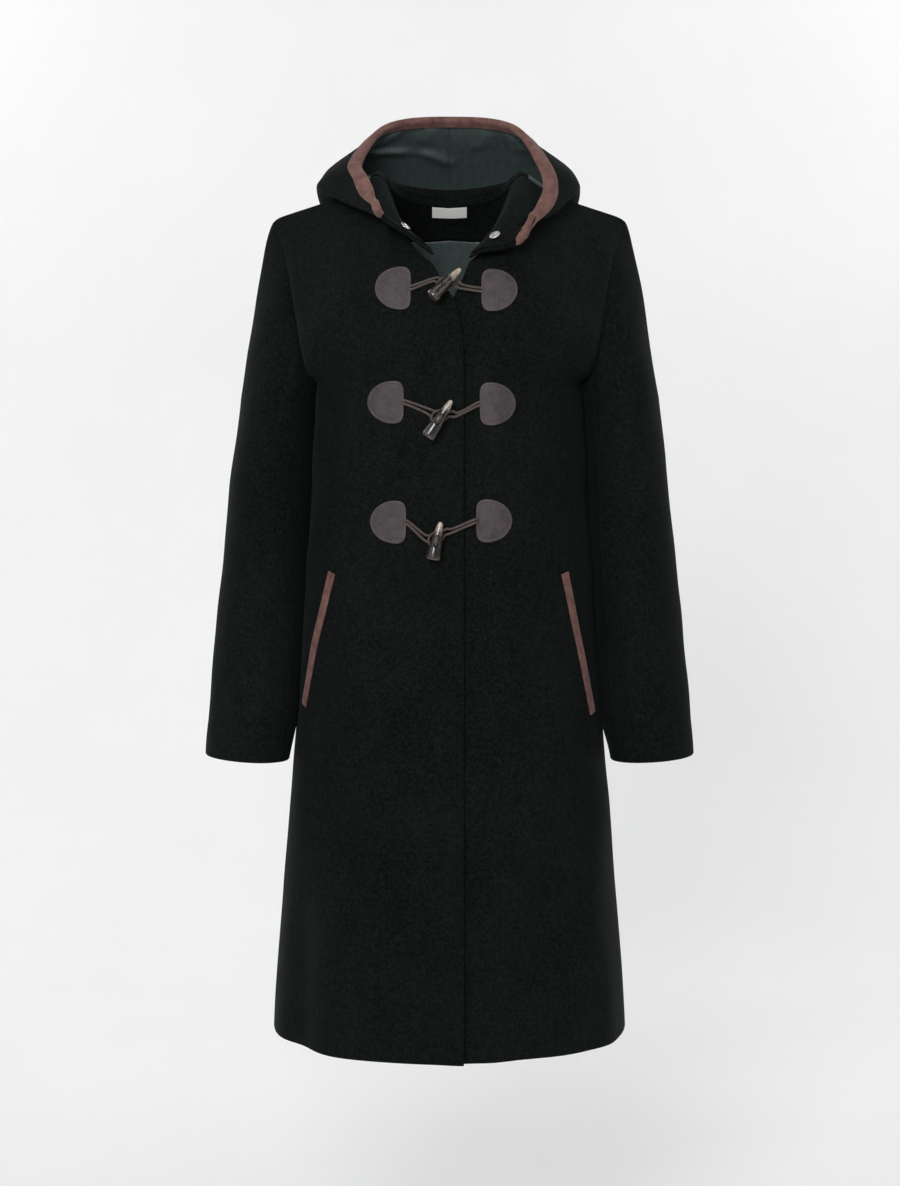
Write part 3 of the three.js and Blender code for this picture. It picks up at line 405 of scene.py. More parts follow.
def front_at(side, across, level, out):
    """A front panel: across runs from its edge, 0, to the side seam, 1."""
    across, level = np.broadcast_arrays(np.asarray(across, float), np.asarray(level, float))
    levels, place = np.unique(level, return_inverse=True)
    edge_x = spline(EDGE_X[side], np.maximum(0, levels - 1))[..., 0]
    edge = share_at_x("front", side, edge_x, levels)[place.reshape(level.shape)]
    lift = EDGE_REST * smooth((1.95 - level) / 0.2) + EDGE_LIFT * smooth((0.42 - level) / 0.42)
    lift = lift * smooth(1 - across / 0.07) * (side < 0)
    points = torso_at("front", side, mix(edge, 1, across), level, out + lift)
    if side > 0:
        points[..., 1] += pass_behind(points[..., 0])
    return points


def over_front(x, z, out):
    """A point over the front of the coat, found by its x and z, for what is sewn on there."""
    x, z = np.broadcast_arrays(np.asarray(x, float), np.asarray(z, float))
    points = np.zeros(x.shape + (3,))
    for side, part in ((-1, x < 0), (1, x >= 0)):
        if part.any():
            a, c = x[part], z[part]
            share_of = lambda level: share_at_x("front", side, a, level, 14)
            height = lambda level: torso("front", side, share_of(level), level)[..., 2]
            level = halving(np.zeros(a.shape), np.full(a.shape, 2.0), lambda middle: height(middle) < c, 15)
            lift = np.broadcast_to(out, x.shape)[part]
            points[part] = torso_at("front", side, share_at_x("front", side, a, level), level, lift)
    points[..., 1] += np.where(x > BRIDGE_X, pass_behind(points[..., 0]), 0)
    return points


print("the cloth under the top toggle:", over_front(-5, -110, 0).round(1))

# %% [markdown]
# ## Sleeves
# A coat sleeve is two tubes in one: a wide upper piece and a narrow under piece, whose seams run
# under the arm. Here the whole sleeve is one surface, by how far round it a point is and how far
# it has fallen from the armhole to the cuff, and the two pieces take their share of the turn.
# The arm bends a little forward, so short creases gather in front of the elbow and at the cap.

# %% Sleeve surface
# round (a length in mm) and z of both ends, width, depth, bow; round is 0 outside, 90 in front
SLEEVE_LOOP = 2 * math.pi * 54
SLEEVE_CREASES = {
    -1: [
        (60, -372, 132, -398, 10, -1.9, 5), (76, -414, 140, -420, 9, 1.4, -4),
        (52, -448, 120, -436, 11, -1.6, -5), (84, -300, 128, -372, 10, -1.3, 6),
        (62, -180, 104, -268, 12, -2.0, 5), (88, -168, 122, -236, 9, 1.3, -3),
        (-40, -520, -14, -640, 15, -1.3, 5), (40, -540, 66, -646, 13, -1.5, -6),
        (96, -500, 88, -640, 14, 1.3, 4), (-92, -260, -60, -380, 14, -1.6, 7),
        (-104, -420, -72, -560, 15, -1.5, -7), (10, -250, 22, -420, 22, -1.0, 6),
        (178, -380, 210, -420, 12, -1.7, 5), (170, -300, 214, -330, 11, 1.2, 4),
        (186, -480, 200, -600, 13, -1.2, 4),
    ],
    1: [
        (56, -386, 128, -404, 11, -1.8, -5), (70, -430, 136, -424, 9, 1.3, 4),
        (60, -470, 118, -452, 10, -1.4, 4), (90, -288, 126, -360, 9, -1.4, -5),
        (58, -190, 100, -280, 12, -1.8, -5), (92, -170, 120, -250, 9, 1.2, 4),
        (-30, -500, -20, -636, 14, -1.2, -5), (48, -560, 60, -648, 12, -1.6, 5),
        (104, -520, 92, -646, 13, 1.2, -4), (-88, -280, -64, -396, 14, -1.7, -6),
        (-100, -440, -80, -590, 14, -1.3, 6), (16, -270, 8, -440, 20, -1.1, -5),
        (172, -394, 206, -430, 12, -1.5, -4), (176, -310, 210, -346, 11, 1.1, -4),
        (190, -500, 196, -610, 13, -1.3, -4),
    ],
}


def sleeve_ring(turn, z):
    """An ellipse between the outer and the inner edge, with the cuff's inner edge a little lower."""
    outer, inner, y, half_depth = sizes_at(SLEEVE_ROWS, z)
    angle = turn * 2 * math.pi
    tilt = CUFF_TILT * (np.cos(angle) - 1) * np.clip((CAP_Z - z) / (CAP_Z - CUFF_Z), 0, 1)
    middle, reach = (outer + inner) / 2, (outer - inner) / 2
    return point_of(middle + reach * np.cos(angle), y - half_depth * np.sin(angle), z + tilt)


def beside_torso(points):
    """Moves x out to the torso's section at that height, w (1 − |y/d|^2.2)^(1/2.2), plus a space, where it
    would be inside. The space is below 0, because the cloths are pressed together. A smooth maximum,
    k ln(e^(a/k) + e^(b/k)), keeps the sleeve's side round."""
    half_width, front, back = sizes_at(TORSO_ROWS, points[..., 2])
    depth = np.where(points[..., 1] < 0, front, back)
    reach = np.clip(1 - np.abs(points[..., 1] / depth) ** RING_POWER, 0, 1) ** (1 / RING_POWER)
    limit = half_width * reach + PRESSED_SPACE
    held = np.logaddexp(points[..., 0] / PRESSED_SOFTNESS, limit / PRESSED_SOFTNESS) * PRESSED_SOFTNESS
    return point_of(held, points[..., 1], points[..., 2])


def sleeve(side, turn, fall):
    """Below the cap the ring at that height, its inner side pressed to the body; above it the curve
    (1−t)²a + 2t(1−t)b + t²c to the armhole."""
    turn, fall = np.broadcast_arrays(np.asarray(turn, float), np.asarray(fall, float))
    low = sleeve_ring(turn, mix(CAP_Z, CUFF_Z, np.clip((fall - CAP_FALL) / (1 - CAP_FALL), 0, 1)))
    inner_side = (1 - np.cos(turn * 2 * math.pi)) / 2
    inward = PRESSED * inner_side * smooth(fall / 0.2) * smooth((1.05 - fall) / 0.17)
    around = turn % 1
    front = spline(ARMHOLE["front"], 1 - around * 2)
    back = spline(ARMHOLE["back"], around * 2 - 1)
    start = np.where(column(around < 0.5), front, back) - [ARMHOLE_OVERLAP, 0, 0]
    end = sleeve_ring(turn, np.full(turn.shape, float(CAP_Z)))
    bend = mix(start, end, CAP_BEND)
    t = column(np.clip(fall / CAP_FALL, 0, 1))
    cap = (1 - t) ** 2 * start + 2 * t * (1 - t) * bend + t * t * end
    points = np.where(column(fall > CAP_FALL), low, cap) - column(inward) * [1, 0, 0]
    below_armpit = smooth((ARMPIT_Z - points[..., 2]) / 20)
    return mix(points, beside_torso(points), column(below_armpit)) * [side, 1, 1]


def sleeve_at(side, turn, fall, out):
    turn, fall = np.broadcast_arrays(np.asarray(turn, float), np.asarray(fall, float))
    points = sleeve(side, turn, fall)
    level = np.minimum(CAP_Z, points[..., 2])
    core = (sleeve_ring(0, level) + sleeve_ring(0.5, level)) / 2
    middle = point_of(side * core[..., 0], core[..., 1], np.minimum(points[..., 2], -190))
    normal = normal_of(lambda a, b: sleeve(side, a, b), turn, fall, (-1, 0), (2, 1), middle)
    relief = strokes(SLEEVE_CREASES[side], turn * SLEEVE_LOOP, points[..., 2]) + waviness(points)
    return points + normal * column(out + relief * smooth(fall / 0.12))


print("outside of the left cuff:", sleeve_at(1, 0, 1, 0).round(1))

# %% [markdown]
# ## The hood, lying open behind the neck
# The hood stands up from the neck, folds down behind and rises again to its face edge, so it is a
# bowl around an open middle. Its surface is a net of rings and stations, with one curve through the
# stations of each ring and a second across the rings. Satin, facing and wool are layers of this net.
# A narrow tape of the same wool covers the neck seam between the two facings.

# %% Hood surface
HOOD_SLOPE_REACH = 0.2        # slopes are taken this far to both sides, so layers don't cross in a bend
BINDING_LINE, BINDING_THICKNESS, BINDING_SPACE = 0.93, 1.2, 1
BINDING_WIDTH, BINDING_NARROWING = 12.5, 4.5      # at its ends, and how much narrower it is at the top
LINING_START, FACING_TOP = 0.26, 0.22

# place round the neck and up (both in mm along the cloth) of both ends, width, depth, bow
HOOD_LOOP, HOOD_RISE = 640, 330
HOOD_CREASES = [
    (250, 205, 318, 288, 14, 2.4, 6), (372, 210, 330, 292, 13, -1.9, -6),
    (150, 196, 206, 262, 12, 2.0, -5), (470, 190, 424, 268, 13, -1.8, 6),
    (96, 190, 150, 236, 10, -1.5, 4), (540, 180, 500, 250, 11, 1.7, -4),
    (200, 236, 262, 300, 10, -1.3, -4), (400, 232, 362, 302, 11, 1.4, 4), (60, 120, 104, 180, 9, -1.2, 3),
    (586, 120, 540, 176, 9, 1.1, -3),
]


def hood(round_neck, up):
    """A curve across the rings, at up, of the points that each ring's own curve has at round_neck."""
    round_neck, up = np.broadcast_arrays(np.asarray(round_neck, float), np.asarray(up, float))
    rings = np.stack([spline(stations, round_neck, even=False) for stations in HOOD_STATIONS])
    return spline(rings, up, even=False)


def hood_at(round_neck, up, out):
    round_neck, up = np.broadcast_arrays(np.asarray(round_neck, float), np.asarray(up, float))
    reach = HOOD_SLOPE_REACH
    along = hood(np.minimum(1, round_neck + reach), up) - hood(np.maximum(0, round_neck - reach), up)
    rising = hood(round_neck, np.minimum(1, up + reach)) - hood(round_neck, np.maximum(0, up - reach))
    relief = strokes(HOOD_CREASES, round_neck * HOOD_LOOP, up * HOOD_RISE)
    relief = relief * smooth((0.95 - up) / 0.2) * smooth(np.minimum(round_neck, 1 - round_neck) / 0.08)
    return hood(round_neck, up) + unit(np.cross(rising, along)) * column(out + relief)


STATIONS_ROUND = np.linspace(0, 1, 401)
edge_points = hood(STATIONS_ROUND, 1.0)
binding_widths = BINDING_WIDTH - BINDING_NARROWING * np.exp(-((STATIONS_ROUND - 0.5) / 0.2) ** 2)
BINDING_SHARES = 1 - halving(
    np.full(401, 0.5), np.ones(401),
    lambda up: np.linalg.norm(edge_points - hood(STATIONS_ROUND, up), axis=-1) > binding_widths,
)

# folds of the satin alone: place round the neck and up on the stretch to the face edge, in mm, then
# width, depth (positive stands into the hood) and bow
LINING_RISE = 900
LINING_FOLDS = [
    (256, 775, 298, 800, 6, 6.0, 4), (292, 800, 326, 781, 6, 5.5, 4), (378, 774, 372, 838, 5, 4.0, 2),
    (398, 788, 406, 834, 6, 3.4, -3), (262, 802, 278, 838, 6, 3.6, 3), (242, 786, 256, 832, 7, 4.2, -3),
    (300, 806, 307, 842, 8, 2.4, 2), (338, 798, 352, 838, 9, 2.8, -3), (222, 778, 232, 816, 6, 3.2, 3),
    (420, 780, 426, 820, 6, 3.0, -2), (230, 300, 300, 520, 13, 3.2, 8), (404, 340, 352, 560, 13, 3.0, -7),
    (280, 560, 300, 700, 12, 2.6, 5), (372, 580, 356, 720, 12, 2.8, -4),
    (320, 480, 320, 1100, 2.4, -0.8, 0),
]


def hood_layer(round_neck, line, out):
    """The hood on the lines its layers share; the band above the binding line is as high as the binding."""
    round_neck, line = np.broadcast_arrays(np.asarray(round_neck, float), np.asarray(line, float))
    share = np.interp(round_neck, STATIONS_ROUND, BINDING_SHARES)
    below = line / BINDING_LINE * (1 - share)
    above = mix(1 - share, 1, (line - BINDING_LINE) / (1 - BINDING_LINE))
    return hood_at(round_neck, np.where(line < BINDING_LINE, below, above), out)


def lining_at(round_neck, line, out):
    """The satin on the hood's lines, its folds standing inwards."""
    fold = strokes(LINING_FOLDS, round_neck * HOOD_LOOP, line * LINING_RISE)
    return hood_layer(round_neck, line, out - fold)


TAPE_TOP_LINE, TAPE_BOTTOM_LEVEL, TAPE_SPACE, TAPE_BULGE = 0.03, 1.986, 0.3, 1.6


def seam_tape_at(round_neck, across, out):
    """Over the neck seam: (1−t)²a + 2t(1−t)b + t²c from the hood's facing to the neck's, b being inside."""
    round_neck, t = np.broadcast_arrays(np.asarray(round_neck, float), np.asarray(across, float))
    share = NECK_SHARE * np.interp(np.abs(round_neck - 0.5), [0, 0.1, 0.2], [0, 0.64, 1])
    share = np.copysign(share, round_neck - 0.5)
    above = hood_layer(round_neck, TAPE_TOP_LINE, out - WOOL - HOOD_SPACE - LINING - TAPE_SPACE)
    below = torso_at("back", 1, share, TAPE_BOTTOM_LEVEL, out - WOOL - SEAM - LINING - TAPE_SPACE)
    middle = (above + below) / 2
    inside = middle - unit(middle * [1, 1, 0]) * column(TAPE_BULGE - np.asarray(out, float))
    t = column(t)
    return (1 - t) ** 2 * above + 2 * t * (1 - t) * inside + t * t * below


def binding_at(round_neck, w, out):
    """The suede folded round the face edge: outer leaf, half a turn over the edge, inner leaf. Past the
    hood's ends it goes straight on and its leaves are pressed together."""
    place, w = np.broadcast_arrays(np.asarray(round_neck, float), np.asarray(w, float))
    round_neck = np.clip(place, 0, 1)
    past_end = np.abs(place - round_neck) * HOOD_LOOP
    layers = WOOL + HOOD_SPACE + LINING
    half = mix(layers / 2 + BINDING_SPACE, 0.1, smooth((past_end - 0.6) / 2.4)) + out
    line = np.where(w <= 0.4, mix(BINDING_LINE, 1, w / 0.4), mix(1, BINDING_LINE, (w - 0.6) / 0.4))
    depth = np.where(w <= 0.4, half, -half) - layers / 2
    leaf = hood_layer(round_neck, np.clip(line, BINDING_LINE, 1), depth)
    edge = hood_layer(round_neck, 1.0, -layers / 2)
    outer = unit(hood_layer(round_neck, 1.0, 0) - edge)
    past = edge - hood_layer(round_neck, 0.99, -layers / 2)
    past = unit(past - outer * np.sum(past * outer, axis=-1, keepdims=True))
    turn = (w - 0.4) / 0.2 * math.pi
    over = edge + outer * column(half * np.cos(turn)) + past * column(half * np.sin(turn))
    away = unit(edge - hood_layer(mix(round_neck, 0.5, 0.02), 1.0, -layers / 2))
    return np.where(column((w > 0.4) & (w < 0.6)), over, leaf) + away * column(past_end)


print("top of the hood's face edge:", hood_at(0.5, 1.0, 0).round(1))

# %% [markdown]
# ## Finishes
# A finish changes over the surface through node maths. Written as nodes it is hard to read, so a value
# is wrapped in a small class: adding or multiplying two values adds the Math node that does it.
# Colours are mixed with Mix nodes. A number that is the same all over is set on the shader itself.

# %% Values that write their own nodes
class Value:
    """An output of a node, with + − and × that add Math nodes."""

    def __init__(self, finish, socket):
        self.finish, self.socket = finish, socket

    def math(self, operation, a, b):
        return self.finish.node("ShaderNodeMath", {"operation": operation}, {0: a, 1: b})

    def __add__(self, other):
        return self.math("ADD", self, other)

    def __sub__(self, other):
        return self.math("SUBTRACT", self, other)

    def __rsub__(self, other):
        return self.math("SUBTRACT", other, self)

    def __mul__(self, other):
        return self.math("MULTIPLY", self, other)

    __radd__, __rmul__ = __add__, __mul__

    def between(self, low, high):
        """0 under low, 1 over high, and a smooth step from one to the other."""
        settings = {"interpolation_type": "SMOOTHSTEP"}
        inputs = {"Value": self, "From Min": low, "From Max": high}
        return self.finish.node("ShaderNodeMapRange", settings, inputs)


WAVE_PERIOD = 0.314           # a wave texture of scale 1 repeats after this length


class Finish:
    """A material around one Principled shader, whose steady numbers are set by name."""

    def __init__(self, name, **steady):
        self.material = bpy.data.materials.new(name)
        self.material.use_nodes = True
        self.tree = self.material.node_tree
        self.shader = self.tree.nodes["Principled BSDF"]
        for key, value in steady.items():
            self.shader.inputs[key.replace("_", " ")].default_value = value
        self.place = self.node("ShaderNodeTexCoord", {}, {}, "Object")

    def node(self, kind, settings, inputs, output=0):
        node = self.tree.nodes.new(kind)
        for key, value in settings.items():
            setattr(node, key, value)
        for key, value in inputs.items():
            if isinstance(value, Value):
                self.tree.links.new(value.socket, node.inputs[key])
            else:
                node.inputs[key].default_value = value
        return Value(self, node.outputs[output])

    def feed(self, key, value):
        self.tree.links.new(value.socket, self.shader.inputs[key])

    def noise(self, size, detail=3.0, roughness=0.55, stretch=(1, 1, 1), place=None):
        """Noise with patches of about size metres, stretched along an axis by stretch."""
        scale = tuple(1 / (size * s) for s in stretch)
        scaled = self.node("ShaderNodeMapping", {}, {"Vector": place or self.place, "Scale": scale})
        inputs = {"Vector": scaled, "Scale": 1.0, "Detail": detail, "Roughness": roughness}
        return self.node("ShaderNodeTexNoise", {}, inputs)

    def cells(self, size, place=None):
        """Distance to the nearest of points about size metres apart."""
        return self.node("ShaderNodeTexVoronoi", {}, {"Vector": place or self.place, "Scale": 1 / size})

    def waves(self, size, direction="X", distortion=0.0, place=None):
        settings = {"wave_type": "BANDS", "bands_direction": direction}
        scale = WAVE_PERIOD / size
        inputs = {"Vector": place or self.place, "Scale": scale, "Distortion": distortion, "Detail": 1.0}
        return self.node("ShaderNodeTexWave", settings, inputs)

    def blend(self, a, b, factor):
        """Colour a where factor is 0 and b where it is 1."""
        return self.node("ShaderNodeMix", {"data_type": "RGBA"}, {0: factor, 6: a, 7: b}, 2)

    def bump(self, height, distance, strength=1.0):
        inputs = {"Height": height, "Distance": distance, "Strength": strength}
        self.feed("Normal", self.node("ShaderNodeBump", {}, inputs))

    def attribute(self, name):
        return self.node("ShaderNodeAttribute", {"attribute_name": name}, {}, "Fac")


print("a finish is one shader with", len(Finish("spare").shader.inputs), "inputs")
bpy.data.materials.remove(bpy.data.materials["spare"])

# %% [markdown]
# ## Melton wool
# Melton is woven, then milled until the fibres felt over the weave, so no threads show. What shows is a
# short nap: a fine grain, soft patches where it was brushed, and now and then a pale fibre. Sheen gives
# the bright rim that a nap has where it is seen edge on.

# %% Wool and wool thread
def wool_finish(name, dark, light):
    wool = Finish(name, Sheen_Weight=0.035, Sheen_Roughness=0.4, Sheen_Tint=(0.5, 0.6, 0.62, 1),
                  Specular_IOR_Level=0.08)
    grain = wool.noise(0.0011, 4, 0.7)
    mottle = wool.noise(0.0034, 3, 0.65)
    brushed = wool.noise(0.03, 3, 0.6, (1, 1, 2.2))
    broad = wool.noise(0.16, 2, 0.5)
    shade = (grain * 0.7 + mottle * 0.9 + brushed * 0.2 + broad * 0.2).between(0.66, 1.36)
    colour = wool.blend(dark, light, shade)
    fibres = wool.noise(0.0016, 2, 0.5, (3.5, 1, 1)).between(0.735, 0.8)
    wool.feed("Base Color", wool.blend(colour, (0.04, 0.045, 0.047, 1), fibres * 0.75))
    wool.feed("Roughness", 0.84 + grain * 0.14)
    wool.bump(grain * 0.7 + wool.noise(0.0045, 3, 0.6) * 0.6, 0.0007, 0.75)
    return wool.material


WOOL_CLOTH = wool_finish("melton_wool", (0.0001, 0.0003, 0.0003, 1), (0.0092, 0.0112, 0.0110, 1))
thread = Finish("black_thread", Roughness=0.8, Specular_IOR_Level=0.12)
dark_thread, light_thread = (0.0015, 0.0018, 0.002, 1), (0.007, 0.008, 0.0085, 1)
thread.feed("Base Color", thread.blend(dark_thread, light_thread, thread.noise(0.0008)))
BLACK_THREAD = thread.material
print("made", WOOL_CLOTH.name, "and", BLACK_THREAD.name)

# %% [markdown]
# ## Satin, suede and leather
# Satin has long threads on its face, so light runs along them in a soft streak: a low roughness that
# the weave breaks up. Suede is the split side of a hide, with a nap that goes light and dark as it is
# brushed. The patches are the grain side, finished with fine cells and wear on their rims.

# %% Satin lining
satin = Finish("lining_satin", Specular_IOR_Level=0.6, Sheen_Weight=0.15, Sheen_Roughness=0.3)
threads = satin.noise(0.0006, 2, 0.6, (8, 1, 1))
slub = satin.noise(0.012, 3, 0.6, (0.35, 1, 3))
satin_shade = (threads * 0.55 + slub * 0.4).between(0.25, 0.75)
satin.feed("Base Color", satin.blend((0.034, 0.050, 0.049, 1), (0.078, 0.105, 0.102, 1), satin_shade))
satin.feed("Roughness", 0.3 + threads * 0.16)
satin.bump(threads * 0.5 + slub * 0.6, 0.0005, 0.5)
SATIN = satin.material
print("made", SATIN.name)

# %% Suede trim and its thread
suede = Finish("suede_trim", Sheen_Weight=0.2, Sheen_Roughness=0.4, Sheen_Tint=(0.9, 0.72, 0.68, 1),
               Specular_IOR_Level=0.2)
nap = suede.noise(0.0009, 4, 0.75)
stroked = suede.noise(0.011, 3, 0.6)
suede_shade = (nap * 0.5 + stroked * 0.6).between(0.3, 0.85)
suede.feed("Base Color", suede.blend((0.068, 0.030, 0.025, 1), (0.235, 0.122, 0.105, 1), suede_shade))
suede.feed("Roughness", 0.86 + nap * 0.12)
suede.bump(nap + stroked * 0.5, 0.0005, 0.7)
SUEDE = suede.material

tan = Finish("brown_thread", Roughness=0.55)
tan.feed("Base Color", tan.blend((0.05, 0.028, 0.024, 1), (0.16, 0.10, 0.085, 1), tan.noise(0.0009)))
BROWN_THREAD = tan.material
print("made", SUEDE.name, "and", BROWN_THREAD.name)

# %% Leather patches
leather = Finish("patch_leather", Specular_IOR_Level=0.45, Coat_Roughness=0.45)
pores = leather.cells(0.0013)
tone = leather.noise(0.012, 4, 0.6)
fine = leather.noise(0.0006, 3, 0.6)
leather_shade = (tone * 0.9 + pores * 0.3).between(0.25, 0.9)
leather_colour = leather.blend((0.017, 0.013, 0.015, 1), (0.060, 0.046, 0.050, 1), leather_shade)
worn_rim = leather.attribute("rim") * tone * 0.6
leather.feed("Base Color", leather.blend(leather_colour, (0.13, 0.10, 0.10, 1), worn_rim))
leather.feed("Roughness", 0.5 + tone * 0.25)
leather.bump(pores * 0.8 + fine * 0.3, 0.0004, 0.6)
LEATHER = leather.material
print("made", LEATHER.name)

# %% [markdown]
# ## Cord, horn and metal
# The cord is waxed cotton, laid from strands that twist round each other, with painted shade in the
# grooves between them. Horn is layered, so it is cut with streaks along the toggle, and the solid tip is
# paler than the rest; it is polished, so it gets a clear coat. The snaps are nickel plated and the label
# is a plain white tape with nothing on it.

# %% Waxed cord and horn
cord = Finish("waxed_cord", Specular_IOR_Level=0.4)
strand = cord.noise(0.0007, 3, 0.7)
# the cord's colour: random strand tone, and painted shade in the grooves between the strands, which the
# groove attribute darkens
cord_tone_and_groove_shade = (strand * 0.6 + cord.noise(0.006) * 0.5 + cord.attribute("groove") * -0.7).between(0.0, 0.7)
cord.feed("Base Color", cord.blend((0.012, 0.008, 0.007, 1), (0.090, 0.068, 0.059, 1), cord_tone_and_groove_shade))
cord.feed("Roughness", 0.55 + strand * 0.25)
cord.bump(strand, 0.0003, 0.6)
WAXED_CORD = cord.material

horn = Finish("toggle_horn", Specular_IOR_Level=0.6, Coat_Roughness=0.08, Coat_Weight=0.4)
streaks = horn.noise(0.0022, 4, 0.65, (1, 1, 7))
clouds = horn.noise(0.009, 3, 0.6)
along = horn.attribute("along")
layered = (streaks * 0.8 + clouds * 0.5).between(0.5, 1.0)
body = horn.blend((0.003, 0.0025, 0.002, 1), (0.034, 0.022, 0.015, 1), layered)
pale_tip = (along + clouds * 0.5 + streaks * 0.2).between(0.98, 1.32)
tipped = horn.blend(body, (0.42, 0.35, 0.27, 1), pale_tip)
pale_foot = (1 - along + streaks * 0.3 + clouds * 0.25).between(1.12, 1.3)
horn.feed("Base Color", horn.blend(tipped, (0.20, 0.155, 0.115, 1), pale_foot * 0.25))
horn.feed("Roughness", 0.18 + streaks * 0.2)
horn.bump(streaks, 0.0002, 0.4)
HORN = horn.material
print("made", WAXED_CORD.name, "and", HORN.name)

# %% Nickel and tape
nickel = Finish("nickel", Metallic=1.0)
wear = nickel.noise(0.004, 4, 0.7)
nickel.feed("Base Color", nickel.blend((0.55, 0.53, 0.49, 1), (0.82, 0.80, 0.76, 1), wear))
nickel.feed("Roughness", 0.2 + wear * 0.22)
NICKEL = nickel.material

tape = Finish("white_tape", Sheen_Weight=0.2, Specular_IOR_Level=0.3)
weft = tape.waves(0.0006, "Z", 0.6)
warp = tape.waves(0.0006, "X", 0.6)
tape.feed("Base Color", tape.blend((0.82, 0.81, 0.79, 1), (0.95, 0.94, 0.92, 1), weft * 0.5 + warp * 0.5))
tape.feed("Roughness", 0.7 + tape.noise(0.002) * 0.2)
tape.bump(weft + warp, 0.0002, 0.5)
WHITE_TAPE = tape.material
print("made", NICKEL.name, "and", WHITE_TAPE.name)

# %% [markdown]
# ## From a surface to a sewn piece
# Every piece of cloth is a closed wall: its surface at two offsets, joined round the border. The border
# line itself is drawn in a little at both faces and an extra line lies just beside it, so that smooth
# shading turns the cut edge over as thick felted cloth does. Nothing is left open or turned inside out.

# %% Walls of cloth
FINISH_OF = {
    "wool": WOOL_CLOTH, "satin": SATIN, "suede": SUEDE, "leather": LEATHER,
    "cord": WAXED_CORD, "horn": HORN, "metal": NICKEL, "label": WHITE_TAPE,
}


def add_piece(name, points, faces, slot, nodes=(), finish=None, **attributes):
    """A piece from points in mm and arrays of faces, which rides with the coat in place of CAD nodes."""
    mesh = bpy.data.meshes.new(name)
    mesh.from_pydata((points * MM).tolist(), [], [face for kind in faces for face in kind.tolist()])
    mesh.shade_smooth()
    for key, values in attributes.items():
        layer = mesh.attributes.new(key, "FLOAT", "POINT")
        layer.data.foreach_set("value", values.ravel().astype(np.float32))
    mesh.materials.append(finish or FINISH_OF[slot])
    piece = bpy.data.objects.new(name, mesh)
    bpy.context.collection.objects.link(piece)
    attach(piece, "root")
    if nodes:
        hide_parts(*nodes)
    return piece


def outwards(points, *faces):
    """Arrays of faces, turned over if the volume they enclose, the sum of a·(b × c) / 6, is negative."""
    volume = 0
    for kind in faces:
        for k in range(1, kind.shape[1] - 1):
            a, b, c = (points[kind[:, corner]] for corner in (0, k, k + 1))
            volume += np.sum(a * np.cross(b, c))
    return [kind[:, ::-1] if volume < 0 else kind for kind in faces]


def grid_faces(rows, columns, start=0):
    """Quads between the points of a grid that is numbered row by row from start."""
    corner = np.arange(rows * columns).reshape(rows, columns)[:-1, :-1].ravel() + start
    return np.stack([corner, corner + 1, corner + columns + 1, corner + columns], axis=1)


def with_edges(start, end, count, margin):
    """Even lines from start to end, and one more beside each end at margin of the whole."""
    even = np.linspace(0, 1, count + 1)
    return mix(start, end, np.sort(np.concatenate([even, [margin, 1 - margin]])))


def wall(sheet, us, vs, top, bottom, rounding):
    """Points and faces of the closed wall between sheet(u, v, top) and sheet(u, v, bottom)."""
    u, v = np.meshgrid(us, vs)
    border = np.zeros(u.shape)
    border[[0, -1], :] = 1
    border[:, [0, -1]] = 1
    layers = [sheet(u, v, top - rounding * border), sheet(u, v, bottom + rounding * border)]
    rows, columns = u.shape
    count = rows * columns
    points = np.concatenate([layer.reshape(-1, 3) for layer in layers])
    number = np.arange(count).reshape(rows, columns)
    loop = np.concatenate([number[0, :-1], number[:-1, -1], number[-1, :0:-1], number[:0:-1, 0]])
    following = np.roll(loop, -1)
    rim = np.stack([loop, loop + count, following + count, following], axis=1)
    faces = np.concatenate([grid_faces(rows, columns), grid_faces(rows, columns, count)[:, ::-1], rim])
    return points, outwards(points, faces)


def cut_size(sheet, us, vs, middle):
    """Width, length and area in metres of the flat cut: the longest row, the longest column, all cells."""
    u, v = np.meshgrid(us, vs)
    points = sheet(u, v, middle) * MM
    width = np.linalg.norm(np.diff(points, axis=1), axis=-1).sum(axis=1).max()
    length = np.linalg.norm(np.diff(points, axis=0), axis=-1).sum(axis=0).max()
    across, down = points[1:, 1:] - points[:-1, :-1], points[1:, :-1] - points[:-1, 1:]
    return width, length, np.linalg.norm(np.cross(across, down), axis=-1).sum() / 2


def add_cloth(name, sheet, us, vs, offsets, slot, nodes, rounding=0.8):
    """A wall of cloth, with the size of its flat cut measured and printed."""
    points, faces = wall(sheet, us, vs, *offsets, rounding)
    piece = add_piece(name, points, faces, slot, nodes)
    width, length, area = cut_size(sheet, us, vs, sum(offsets) / 2)
    print(f"{name}: {width:.3f} x {length:.3f} m, {area:.4f} m2, {2 * len(faces[0])} triangles")
    return piece

# %% [markdown]
# ## Body, sleeves and linings
# The pattern has two fronts, a back, an upper and an under piece for each sleeve, and inside the back
# a satin lining with a wool facing at the neck. Each is drawn on a grid fine enough for its creases.
# The flat size that each piece was cut to is measured on its own surface, so it stays true to the form.

# %% Body
SKIRT_LEVELS = np.concatenate([[0, 0.0012], np.linspace(0, 1, 111)[1:]])
YOKE_LEVELS = np.concatenate([np.linspace(1, 1.93, 52)[1:], [1.95, 1.965, 1.98, 1.99, 1.997, 2]])
LEVELS = np.concatenate([SKIRT_LEVELS, YOKE_LEVELS])
WALL = (0, -WOOL)
BODY_INSIDE = (-WOOL - SEAM, -WOOL - SEAM - LINING)
LINING_TOP = 1.7

for name, side, rests in (("front_right", -1, ["front_left_cloth"]), ("front_left", 1, ["back_cloth"])):
    panel = lambda u, v, out, side=side: front_at(side, u, v, out)
    us = with_edges(0, 1, 66, 0.003)
    add_cloth(name + "_cloth", panel, us, LEVELS, WALL, "wool", [name])

